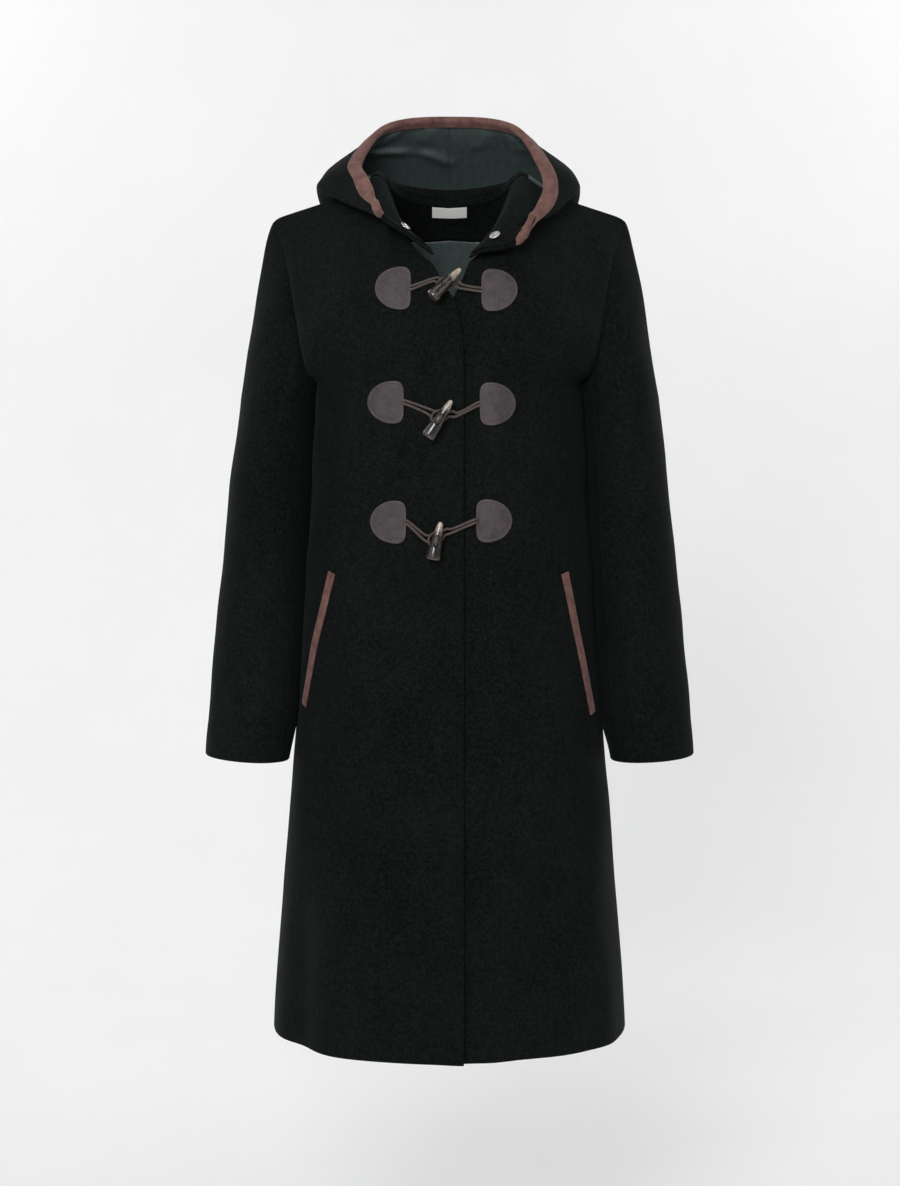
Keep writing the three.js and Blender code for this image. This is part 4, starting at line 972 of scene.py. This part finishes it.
back = lambda u, v, out: torso_at("back", 1, u, v, out)
back_lines = with_edges(-1, 1, 120, 0.0018)
add_cloth("back_cloth", back, back_lines, LEVELS, WALL, "wool", ["back"])
inner_lines = with_edges(-0.9, 0.9, 90, 0.002)
low_levels = LEVELS[(LEVELS > 0.03) & (LEVELS < LINING_TOP)]
add_cloth("back_lining_satin", back, inner_lines, np.append(low_levels, LINING_TOP - 0.004), BODY_INSIDE,
          "satin", ["back_lining"], 0.2)
high_levels = np.linspace(LINING_TOP + 0.004, 1.997, 24)
add_cloth("back_neck_facing_cloth", back, inner_lines, high_levels, BODY_INSIDE, "wool", ["back_neck_facing"],
          0.2)

# %% Sleeves
FALLS = np.concatenate([[0, 0.002], np.linspace(0, 1, 121)[1:-1], [0.998, 1]])

for name, side in (("right", -1), ("left", 1)):
    tube = lambda u, v, out, side=side: sleeve_at(side, u, v, out)
    upper = with_edges(UNDER_BACK_TURN - 1, UNDER_FRONT_TURN, 76, 0.003)
    under = with_edges(UNDER_FRONT_TURN, UNDER_BACK_TURN, 30, 0.008)
    add_cloth(f"upper_sleeve_{name}_cloth", tube, upper, FALLS, WALL, "wool", [f"upper_sleeve_{name}"])
    add_cloth(f"under_sleeve_{name}_cloth", tube, under, FALLS, WALL, "wool", [f"under_sleeve_{name}"])

# %% Hood
HOOD_INSIDE = (-WOOL - HOOD_SPACE, -WOOL - HOOD_SPACE - LINING)
hood_lines = np.concatenate([[0, 0.003], np.linspace(0, 1, 91)[1:-1], [0.997, 1]])
hidden_part = with_edges(FACING_TOP + 0.002, 0.84, 34, 0.004)[:-2]
above_facing = np.concatenate([hidden_part, np.linspace(0.84, 0.998, 62), [1]])
below_facing = with_edges(0.002, FACING_TOP, 18, 0.006)
corner_lines = with_edges(0.002, 1, 78, 0.002)
for name, start, end in (("right", 0, 0.5), ("left", 0.5, 1)):
    halves = with_edges(start, end, 84, 0.0022)
    add_cloth(f"hood_{name}_cloth", hood_layer, halves, hood_lines, WALL, "wool", [f"hood_{name}"])
    lined = (LINING_START + 0.004, 0.5) if name == "right" else (0.5, 1 - LINING_START - 0.004)
    add_cloth(f"hood_lining_{name}_satin", lining_at, with_edges(*lined, 90, 0.003), above_facing,
              HOOD_INSIDE, "satin", [f"hood_lining_{name}"], 0.2)
    corner = (0.008, LINING_START) if name == "right" else (1 - LINING_START, 0.992)
    add_cloth(f"hood_facing_{name}_cloth", hood_layer, with_edges(*corner, 36, 0.004), corner_lines,
              HOOD_INSIDE, "wool", [f"hood_facing_{name}"], 0.2)
band = with_edges(LINING_START + 0.008, 1 - LINING_START - 0.008, 110, 0.0015)
add_cloth("hood_facing_back_cloth", hood_layer, band, below_facing, HOOD_INSIDE, "wool", ["hood_facing_back"],
          0.2)
add_cloth("neck_seam_tape_cloth", seam_tape_at, with_edges(0.3, 0.7, 90, 0.002), with_edges(0, 1, 10, 0.02),
          (0, -0.8), "wool", [], 0.25)

# %% [markdown]
# ## Suede binding and pocket welts
# The hood's face edge is bound with a strip of suede, folded over it and sewn through. The welts are
# strips of the same suede over the pocket mouths. Both follow the surface they are sewn to.

# %% Binding and welts
END_LINES = np.array([-0.0085, -0.0082, -0.0065, -0.005, -0.0042, -0.0034, -0.0026, -0.0018, -0.0009])
round_lines = np.concatenate([END_LINES, np.linspace(0, 1, 191), 1 - END_LINES[::-1]])
binding_lines = np.sort(np.concatenate([
    [0, 0.02, 0.98, 1], np.linspace(0.08, 0.4, 6), np.linspace(0.42, 0.58, 9), np.linspace(0.6, 0.92, 6),
]))
add_cloth("hood_binding_suede", binding_at, round_lines, binding_lines, (BINDING_THICKNESS, 0), "suede",
          ["hood_binding"], 0.35)

WELT_WIDTH, WELT_QUARTER_ARC = 12, 235
# name, side, share and height of the top end, share and height of the bottom end
WELTS = [
    ("pocket_welt_right", -1, (0.562, -430), (0.765, -584)),
    ("pocket_welt_left", 1, (0.545, -430), (0.72, -592)),
]


def welt_at(row, across, up, out):
    """A place across mm from the welt's middle line and up the share of its length."""
    _, side, top, bottom = row
    run_across, run_up = (bottom[0] - top[0]) * WELT_QUARTER_ARC, bottom[1] - top[1]
    length = math.hypot(run_across, run_up)
    share = mix(bottom[0], top[0], up) - across * run_up / length / WELT_QUARTER_ARC
    z = mix(bottom[1], top[1], up) + across * run_across / length
    return torso_at("front", side, share, (z - HEM_Z) / (ARMPIT_Z - HEM_Z), out)


for row in WELTS:
    strip = lambda u, v, out, row=row: welt_at(row, (u - 0.5) * WELT_WIDTH, v, out)
    add_cloth(row[0] + "_suede", strip, with_edges(0, 1, 10, 0.03), with_edges(0, 1, 70, 0.003), (2.3, 0.4),
              "suede", [row[0]], 0.4)

# %% [markdown]
# ## Rings closed at both ends
# Patches, toggles, cords and snaps are stacks of rings: round a middle, along an axis or along a path.
# One helper numbers the quads between rings and closes the first and the last ring on a pole.

# %% Stacks of rings
def ring_faces(rings, around, start=0):
    """Quads between rings that close on themselves, and two fans to the poles numbered after them."""
    number = np.arange(rings * around).reshape(rings, around) + start
    after = np.roll(number, -1, axis=1)
    quads = np.stack([number[:-1], after[:-1], after[1:], number[1:]], axis=-1).reshape(-1, 4)
    first, last = start + rings * around, start + rings * around + 1
    near = np.stack([after[0], number[0], np.full(around, first)], axis=1)
    far = np.stack([number[-1], after[-1], np.full(around, last)], axis=1)
    return quads, np.concatenate([near, far])


def closed_rings(grid):
    """Points and faces of a stack of rings, an array (rings, around, 3), with a pole at both ends."""
    rings, around = grid.shape[:2]
    points = np.concatenate([grid.reshape(-1, 3), grid[0].mean(axis=0)[None], grid[-1].mean(axis=0)[None]])
    return points, outwards(points, *ring_faces(rings, around))


def along_path(points, count):
    """count places evenly far apart along a line through points."""
    lengths = np.concatenate([[0], np.cumsum(np.linalg.norm(np.diff(points, axis=0), axis=1))])
    at = np.linspace(0, lengths[-1], count)
    return np.stack([np.interp(at, lengths, points[:, k]) for k in range(3)], axis=1)


example_quads, example_fans = ring_faces(3, 5)
print("a stack of 3 rings of 5 has", len(example_quads), "quads and", len(example_fans), "triangles")

# %% [markdown]
# ## Leather patches
# Each toggle cord and loop is held by a D of leather, flat on the side towards the opening. The rings
# shrink towards its middle. The stitch line presses a shallow groove, and the rim is pared and rounded.

# %% Leather patches
TOGGLE_ROWS = [
    ("top", (-62.9, -110), (55.6, -112), (-21, -128), (11, -92)),
    ("middle", (-70.7, -237), (53.4, -239), (-24, -276), (3, -235)),
    ("bottom", (-68, -371), (49.5, -369.5), (-18, -412), (-9, -370)),
]
PATCH_HALF_WIDTH, PATCH_HALF_HEIGHT = 20, 24
# share of the way out from the middle, height above the cloth
PATCH_PROFILE = np.array([
    [0.05, 2.95], [0.25, 2.93], [0.45, 2.88], [0.62, 2.8], [0.74, 2.72], [0.8, 2.6],
    [0.835, 2.38], [0.865, 2.34],
    [0.9, 2.55], [0.94, 2.6], [0.975, 2.4], [0.995, 2.0], [1, 1.4], [0.99, 0.8], [0.96, 0.55],
    [0.8, 0.5], [0.4, 0.5],
])


def patch_outline(angle, flat_side):
    """A D: half an ellipse 1.4 wide on one side of 0.4, and (1 − |y|⁵)^0.4 × 0.6 on the side of flat_side."""
    x, y = np.cos(angle), np.sin(angle)
    flat = 0.6 * np.sign(x) * (1 - np.abs(y) ** 5) ** 0.4
    return 0.4 * flat_side + np.where(x * flat_side > 0, flat, 1.4 * x), y


patch_lines = []
for row_name, left_middle, right_middle, _, _ in TOGGLE_ROWS:
    for name, middle, flat_side in (("right", left_middle, 1), ("left", right_middle, -1)):
        angle = np.linspace(0, 2 * math.pi, 97)[:-1]
        x, y = patch_outline(angle, flat_side)
        share, lift = PATCH_PROFILE[:, 0][:, None], PATCH_PROFILE[:, 1][:, None]
        grid = over_front(middle[0] + share * x * PATCH_HALF_WIDTH, middle[1] + share * y * PATCH_HALF_HEIGHT,
                          np.broadcast_to(lift, (len(share), len(angle))))
        points, faces = closed_rings(grid)
        rim = np.concatenate([np.broadcast_to(smooth((share - 0.9) / 0.08), grid.shape[:2]).ravel(), [0, 0]])
        patch = f"patch_{row_name}_{name}"
        add_piece(patch + "_leather", points, faces, "leather", [patch], rim=rim)
        groove = np.append(grid[7], grid[7][:1], axis=0)
        patch_lines.append((groove, groove + unit(grid[0].mean(axis=0) - grid[-1].mean(axis=0))))
print("six patches of", len(points), "points each")

# %% [markdown]
# ## Cords and loops
# A doubled waxed cord comes out from under the left patch, through both holes of the toggle and back.
# The right patch holds a loop that the toggle slips through. A cord is a tube carried along a curve:
# its frame is turned only as far as the curve bends, and its section has three lobes that twist as
# they go, one for each strand.

# %% Tubes along a path
CORD_RADIUS, CORD_LIFT, LOOP_LIFT, TOGGLE_LIFT, TOGGLE_HOLE_OFFSET = 1.6, 2.4, 6.3, 16, 4.6
TURNS_PER_MM = 1 / 9


def turning_frames(path):
    """Two directions across the path at each step: the last ones without their part along the path."""
    tangent = unit(np.gradient(path, axis=0))
    across = np.cross(tangent[0], [0.31, -0.87, 0.38])
    sides = []
    for direction in tangent:
        across = across - direction * (across @ direction)
        across = across / np.linalg.norm(across)
        sides.append(across)
    sides = np.array(sides)
    return sides, np.cross(tangent, sides)


def twisted_tube(path, radius, around=18, strands=3):
    """radius × (0.86 + 0.14 |cos(strands (angle − twist) / 2)|) round each point of an evenly spaced path."""
    sides, ups = turning_frames(path)
    step = np.linalg.norm(path[1] - path[0])
    angle = np.linspace(0, 2 * math.pi, around + 1)[:-1]
    twist = np.arange(len(path))[:, None] * step * TURNS_PER_MM * 2 * math.pi
    lobe = np.abs(np.cos(strands * (angle - twist) / 2))
    reach = column(radius * (0.86 + 0.14 * lobe))
    outward = sides[:, None] * column(np.cos(angle)) + ups[:, None] * column(np.sin(angle))
    grid = path[:, None] + reach * outward
    # the second array marks the grooves between the strands, where the cord finish paints shade
    return grid, 1 - smooth(lobe / 0.45)


def add_cord(name, points, node, radius=CORD_RADIUS * 0.97, slot="cord"):
    places = spline(points, np.linspace(0, 1, 600), even=False)
    length = np.linalg.norm(np.diff(places, axis=0), axis=1).sum()
    grid, groove = twisted_tube(along_path(places, int(length / 0.9)), radius)
    points, faces = closed_rings(grid)
    # the groove attribute tells the cord finish where to paint shade between the strands
    add_piece(name, points, faces, slot, node, groove=np.concatenate([groove.ravel(), [0, 0]]))
    print(f"{name}: {length:.0f} mm long, {len(points)} points")


def toggle_frame(row):
    """Middle, length, axis from base to tip, way out of the cloth, and centre of a toggle."""
    _, _, _, base, tip = row
    base, tip = np.array(base, float), np.array(tip, float)
    middle = (base + tip) / 2
    cloth, lifted = over_front(np.full(2, middle[0]), np.full(2, middle[1]), np.array([0.0, 1.0]))
    out = unit(lifted - cloth)
    run = np.array([tip[0] - base[0], 0, tip[1] - base[1]])
    axis = unit(run - out * (run @ out))
    return middle, np.linalg.norm(run), axis, out, cloth + out * TOGGLE_LIFT


def cord_paths(row):
    """Control points of a toggle's doubled cord and of its loop, each a half and its mirror."""
    _, left, right, _, _ = row
    middle, _, axis, out, centre = toggle_frame(row)
    way = axis[[0, 2]] / np.hypot(axis[0], axis[2])
    hole, wide = TOGGLE_HOLE_OFFSET, TOGGLE_HOLE_OFFSET + 2 * CORD_RADIUS + 1.4
    start_x = left[0] + PATCH_HALF_WIDTH + CORD_RADIUS * 0.4
    end_x = right[0] - PATCH_HALF_WIDTH - CORD_RADIUS * 0.4

    def near(along, across, lift):
        x = middle[0] + along * way[0] - across * way[1]
        z = middle[1] + along * way[1] + across * way[0]
        return x, z, lift

    def cord_half(sign):
        on_cloth = [
            (start_x - 3, left[1] + sign * 1.9, CORD_LIFT - 0.4), (start_x, left[1] + sign * 1.9, CORD_LIFT),
            near(sign * (hole - 1.6), 13, CORD_LIFT), near(sign * (hole - 0.6), 8, CORD_LIFT),
            near(sign * hole, 3, CORD_LIFT), near(sign * hole, 0.6, CORD_LIFT + 2),
        ]
        in_hole = [(hole, -6), (hole, 0), (hole, 6), (hole - 1.4, 8)]
        rising = [centre + axis * sign * along + out * lift for along, lift in in_hole]
        return np.concatenate([over_front(*np.array(on_cloth).T), rising])

    def loop_half(sign):
        on_cloth = [
            (end_x + 3, right[1] + sign * 1.9, CORD_LIFT - 0.4), (end_x, right[1] + sign * 1.9, CORD_LIFT),
            near(13 + sign * 2.6, -12, CORD_LIFT + 2), near(11 + sign * 3.6, -7, LOOP_LIFT - 0.4),
            near(sign * wide, -1, LOOP_LIFT), near(sign * (wide - 2.2), 6, LOOP_LIFT),
            near(0, 9.2, LOOP_LIFT + 0.3),
        ]
        return over_front(*np.array(on_cloth).T)

    cord_path = np.concatenate([cord_half(1), cord_half(-1)[::-1]])
    return cord_path, np.concatenate([loop_half(1), loop_half(-1)[-2::-1]])


for row in TOGGLE_ROWS:
    cord_points, loop_points = cord_paths(row)
    add_cord(f"cord_{row[0]}_waxed", cord_points, [f"cord_{row[0]}"])
    add_cord(f"loop_{row[0]}_waxed", loop_points, [f"loop_{row[0]}"])

# %% [markdown]
# ## Horn toggles
# A toggle is the end of a horn: thick at the foot, tapering and slightly bent towards the tip, and
# drilled twice. Its rings are lathed along a bent axis, then two drills are taken out of it with a
# boolean, because round holes in a round body are hard to lay out by hand. The bend stays inside the
# holes' clearance, so that the cords still pass.

# %% Horn toggles
# share of the length from the foot to the tip, radius
TOGGLE_PROFILE = np.array([
    [0.001, 3.2], [0.004, 5.8], [0.014, 7.0], [0.035, 7.6], [0.09, 7.8], [0.2, 7.55], [0.32, 7.1],
    [0.45, 6.5],
    [0.58, 5.75], [0.7, 5.0], [0.8, 4.2], [0.88, 3.5], [0.94, 2.8], [0.975, 2.2], [0.993, 1.4], [0.999, 0.6],
])
HOLE_RADIUS, BEND = 2.4, 0.9


def solid_object(name, points, faces):
    mesh = bpy.data.meshes.new(name)
    mesh.from_pydata((points * MM).tolist(), [], [face for kind in faces for face in kind.tolist()])
    solid = bpy.data.objects.new(name, mesh)
    bpy.context.collection.objects.link(solid)
    return solid


def drilled(points, faces, drills):
    """The mesh of a solid with the drills taken out of it; nothing else of them stays in the scene."""
    body = solid_object("horn_blank", points, faces)
    cutters = [solid_object("drill", *drill) for drill in drills]
    for cutter in cutters:
        boolean = body.modifiers.new("drill", "BOOLEAN")
        boolean.operation, boolean.solver, boolean.object = "DIFFERENCE", "EXACT", cutter
    bpy.context.view_layer.update()
    mesh = bpy.data.meshes.new_from_object(body.evaluated_get(bpy.context.evaluated_depsgraph_get()))
    for spent in [body] + cutters:
        bpy.data.objects.remove(spent)
    return mesh


for row in TOGGLE_ROWS:
    _, length, axis, out, centre = toggle_frame(row)
    side = np.cross(axis, out)
    angle = np.linspace(0, 2 * math.pi, 41)[:-1]
    share, radius = TOGGLE_PROFILE[:, 0][:, None], TOGGLE_PROFILE[:, 1][:, None]
    bend = BEND * (1 - 4 * (share - 0.5) ** 2) * -1
    ripple = radius * (1 + 0.018 * np.sin(3 * angle + share * 4) + 0.012 * np.sin(5 * angle - share * 3))
    grid = (centre + axis * column((share - 0.5) * length + 0 * angle) + out * column(bend + 0 * angle)
            + side * column(ripple * np.cos(angle)) + out * column(ripple * np.sin(angle)))
    drills = []
    for offset in (-TOGGLE_HOLE_OFFSET, TOGGLE_HOLE_OFFSET):
        turn = np.linspace(0, 2 * math.pi, 25)[:-1]
        flare = np.array([[-14, 4.2], [-6.6, HOLE_RADIUS], [4.6, HOLE_RADIUS], [14, 4.9]])
        drill = (centre + axis * (offset + column(flare[:, 1][:, None] * np.cos(turn)))
                 + side * column(flare[:, 1][:, None] * np.sin(turn))
                 + out * column(flare[:, 0][:, None] + 0 * turn))
        drills.append(closed_rings(drill))
    mesh = drilled(*closed_rings(grid), drills)
    places = np.zeros(len(mesh.vertices) * 3)
    mesh.vertices.foreach_get("co", places)
    along = (places.reshape(-1, 3) / MM - centre) @ axis / length + 0.5
    mesh.attributes.new("along", "FLOAT", "POINT").data.foreach_set("value", along.astype(np.float32))
    mesh.shade_smooth()
    mesh.set_sharp_from_angle(angle=math.radians(38))
    mesh.materials.clear()
    mesh.materials.append(HORN)
    toggle = bpy.data.objects.new(f"toggle_{row[0]}_horn", mesh)
    bpy.context.collection.objects.link(toggle)
    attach(toggle, "root")
    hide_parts(f"toggle_{row[0]}")
    print(toggle.name, "is", round(length), "mm long with", len(mesh.polygons), "faces")

# %% [markdown]
# ## Snaps and label
# Two press studs close the hood's front corners; each is a pressed disc with a raised ring. The woven
# label at the back of the neck is a plain tape, sewn down at both ends.

# %% Snaps and label
# distance from the middle, height above the facing
SNAP_PROFILE = np.array([
    [0.3, 1.25], [1.6, 1.3], [2.1, 1.75], [2.5, 1.8], [2.9, 1.35], [3.7, 1.3], [4.3, 1.65],
    [5.2, 1.7], [6.0, 1.35],
    [6.45, 0.8], [6.5, 0.3], [6.2, 0.02], [3.0, 0],
])
SNAP_DEPTH = -WOOL - HOOD_SPACE - LINING - 1.2
for name, round_neck, up in (("snap_right", 0.06, 0.25), ("snap_left", 0.945, 0.24)):
    seat = hood_at(np.full(2, round_neck), np.full(2, up), np.array([SNAP_DEPTH, SNAP_DEPTH - 1]))
    lift = unit(seat[1] - seat[0])
    side = unit(np.cross(lift, [0, 0, 1]))
    angle = np.linspace(0, 2 * math.pi, 49)[:-1]
    radius, height = SNAP_PROFILE[:, 0][:, None], SNAP_PROFILE[:, 1][:, None]
    grid = (seat[0] + lift * column(height + 0 * angle) + side * column(radius * np.cos(angle))
            + np.cross(lift, side) * column(radius * np.sin(angle)))
    add_piece(name + "_nickel", *closed_rings(grid), "metal", [name])

LABEL_WIDTH, LABEL_DEPTH = 42, -WOOL - SEAM - LINING - 0.9


def label_at(across, up, out):
    """The tape over the neck facing, across mm from the centre line, slightly buckled between its ends."""
    level = mix(1.884, 1.981, up) + 0 * across
    share = share_at_x("back", 1, np.abs(across), level) * np.sign(across + 1e-9)
    ripple = 1 + 0.4 * np.sin(across * 0.35 + up * 3)
    buckle = 0.35 * np.sin((across / LABEL_WIDTH + 0.5) * math.pi) * ripple
    return torso_at("back", 1, share, level, out - buckle)


tape_at = lambda u, v, out: label_at((u - 0.5) * LABEL_WIDTH, v, out)
add_cloth("label_tape", tape_at, with_edges(0, 1, 40, 0.01), with_edges(0, 1, 14, 0.03),
          (LABEL_DEPTH, LABEL_DEPTH - 0.6),
          "label", ["label"], 0.1)
print("two snaps of", 2 * SNAP_PROFILE[:, 0].max(), "mm and one bare label")

# %% [markdown]
# ## Stitches
# The coat is topstitched: beside the front edge, along the hood's front edges, on the binding, the welts
# and in the groove of each patch. A stitch is a short length of thread that dips into the cloth at both
# ends, so each is a small capsule whose middle stands highest. A whole line is one mesh of such capsules.

# %% Lines of stitches
# place along the stitch from −1 to 1, share of the thread's radius, height over the cloth
STITCH_RINGS = np.array([
    [-1, 0.45, -0.30], [-0.75, 0.9, -0.02], [0, 1, 0.12], [0.75, 0.9, -0.02], [1, 0.45, -0.30],
])


def stitches(line, out, pitch, length, radius, around=6):
    """Rings of points round evenly spaced stretches of a line; out is the way off the cloth at each point."""
    lengths = np.concatenate([[0], np.cumsum(np.linalg.norm(np.diff(line, axis=0), axis=1))])
    count = int(lengths[-1] / pitch)
    middle = (np.arange(count) + 0.5) * lengths[-1] / count
    pick = lambda values, at: np.stack([np.interp(at, lengths, values[:, k]) for k in range(3)], axis=-1)
    off = unit(pick(out, middle))[:, None]
    centres = pick(line, middle[:, None] + STITCH_RINGS[:, 0] * length / 2) + off * column(STITCH_RINGS[:, 2])
    side = unit(np.cross(centres[:, -1:] - centres[:, :1], off))
    angle = np.linspace(0, 2 * math.pi, around + 1)[:-1]
    ways = side[:, :, None] * column(np.cos(angle)) + off[:, :, None] * column(np.sin(angle))
    grid = centres[:, :, None] + ways * (radius * STITCH_RINGS[:, 1])[None, :, None, None]
    poles = centres[:, [0, -1]]
    return np.concatenate([grid.reshape(count, -1, 3), poles], axis=1)


def sew(name, lines, slot, finish, pitch=3.6, length=2.6, radius=0.34):
    """One mesh of stitches along pairs of lines: on the cloth, and 1 mm off it."""
    threads = np.concatenate([stitches(on, off - on, pitch, length, radius) for on, off in lines])
    first = column(np.arange(len(threads)) * threads.shape[1]).astype(int)
    kinds = ring_faces(len(STITCH_RINGS), 6)
    faces = [(kind[None] + first[..., None]).reshape(-1, kind.shape[1]) for kind in kinds]
    points = threads.reshape(-1, 3)
    add_piece(name, points, outwards(points, *faces), slot, (), finish)
    print(f"{name}: {len(threads)} stitches")


def on_and_off(surface, *places, out=0.0, way=1):
    """A line on a surface and the same line 1 mm off it, to the side of way."""
    return surface(*places, out), surface(*places, out + way)


down_front = np.linspace(0.006, 1.985, 700)
up_hood = np.linspace(0.03, 0.9, 240)
round_hood = np.linspace(0.0, 1.0, 500)
inside = -WOOL - HOOD_SPACE - LINING
sew("front_edge_thread", [on_and_off(lambda *at: front_at(-1, *at), 0.026, down_front)], "wool", BLACK_THREAD)
sew("hood_edge_thread", [
    on_and_off(hood_layer, place, up_hood, out=depth, way=way)
    for place in (0.022, 0.978) for depth, way in ((0.0, 1), (inside, -1))
], "wool", BLACK_THREAD)
sew("binding_thread", [on_and_off(binding_at, round_hood, w, out=BINDING_THICKNESS) for w in (0.06, 0.94)],
    "suede", BROWN_THREAD, 3.2, 2.3, 0.26)
sew("welt_thread", [
    on_and_off(lambda *at, row=row: welt_at(row, *at), across, np.linspace(0.02, 0.98, 200), out=2.3)
    for row in WELTS for across in (-4.4, 4.4)
], "suede", BROWN_THREAD, 3.2, 2.3, 0.26)
sew("patch_thread", patch_lines, "leather", BROWN_THREAD, 3.0, 2.1, 0.26)

# %% [markdown]
# ## Light and floor
# The photograph is lit evenly from the front and the top, against white. Wide soft lamps do the same:
# one in front on the left, weaker ones at both sides and above, and two for the paper behind the coat.
# The floor sweeps up into the backdrop in one curve, so no corner shows behind the coat.

# %% Sweep
FLOOR_Z, SWEEP_START, SWEEP_RADIUS = -1.3, 1.5, 1.2


def sweep_profile(count):
    """Straight from the front to the start of the curve, a quarter circle, then straight up."""
    turn = np.linspace(0, math.pi / 2, count)
    y = np.concatenate([[-6], SWEEP_START + SWEEP_RADIUS * np.sin(turn), [SWEEP_START + SWEEP_RADIUS]])
    z = np.concatenate([[FLOOR_Z], FLOOR_Z + SWEEP_RADIUS * (1 - np.cos(turn)), [5.0]])
    return y, z


sweep_y, sweep_z = sweep_profile(24)
sweep_x = np.array([-6.0, 6.0])
sweep_points = point_of(sweep_x[None, :], sweep_y[:, None], sweep_z[:, None])
sweep_mesh = bpy.data.meshes.new("sweep")
sweep_mesh.from_pydata(sweep_points.reshape(-1, 3).tolist(), [], grid_faces(len(sweep_y), 2).tolist())
sweep_mesh.shade_smooth()
paper = Finish("pale_paper", Roughness=0.9, Specular_IOR_Level=0.2)
paper.feed("Base Color", paper.blend((0.88, 0.88, 0.875, 1), (0.93, 0.93, 0.925, 1), paper.noise(0.4)))
sweep_mesh.materials.append(paper.material)
sweep = bpy.data.objects.new("sweep", sweep_mesh)
bpy.context.collection.objects.link(sweep)
print("sweep from", sweep_y[0], "m in front to", sweep_y[-1], "m behind")

# %% Lamps and world
# name, place, where it points, width and height in metres, power in watts
LAMPS = [
    ("key", (-0.55, -2.5, 0.55), (0, 0, -0.08), 1.1, 0.9, 44),
    ("left", (-2.5, -1.7, 0.8), (0, 0, -0.3), 1.2, 1.8, 8),
    ("right", (2.6, -1.6, 0.7), (0, 0, -0.3), 1.2, 1.8, 10),
    ("top", (0.1, -0.9, 2.2), (0, 0, -0.2), 1.8, 1.2, 10),
    ("paper_left", (-2.4, 1.2, 1.6), (-0.3, 2.7, -0.6), 1.6, 1.6, 36),
    ("paper_right", (2.4, 1.2, 1.6), (0.3, 2.7, -0.6), 1.6, 1.6, 36),
]


def turned_towards(place, target):
    """The Euler angles of a lamp that shines along its own −Z from place to target."""
    x, y, z = (b - a for a, b in zip(place, target))
    return (math.atan2(math.hypot(x, y), -z), 0, math.atan2(-x, y))


for name, place, target, width, height, power in LAMPS:
    lamp = bpy.data.lights.new(name, "AREA")
    lamp.shape, lamp.size, lamp.size_y, lamp.energy = "RECTANGLE", width, height, power
    holder = bpy.data.objects.new(name, lamp)
    holder.location = place
    holder.rotation_euler = turned_towards(place, target)
    bpy.context.collection.objects.link(holder)

world = bpy.data.worlds.new("pale_studio")
bpy.context.scene.world = world
world.use_nodes = True
world.node_tree.nodes["Background"].inputs["Color"].default_value = (0.95, 0.97, 1.0, 1)
world.node_tree.nodes["Background"].inputs["Strength"].default_value = 0.24
bpy.context.scene.view_settings.view_transform = "Standard"
print(len(LAMPS), "lamps and a pale world")
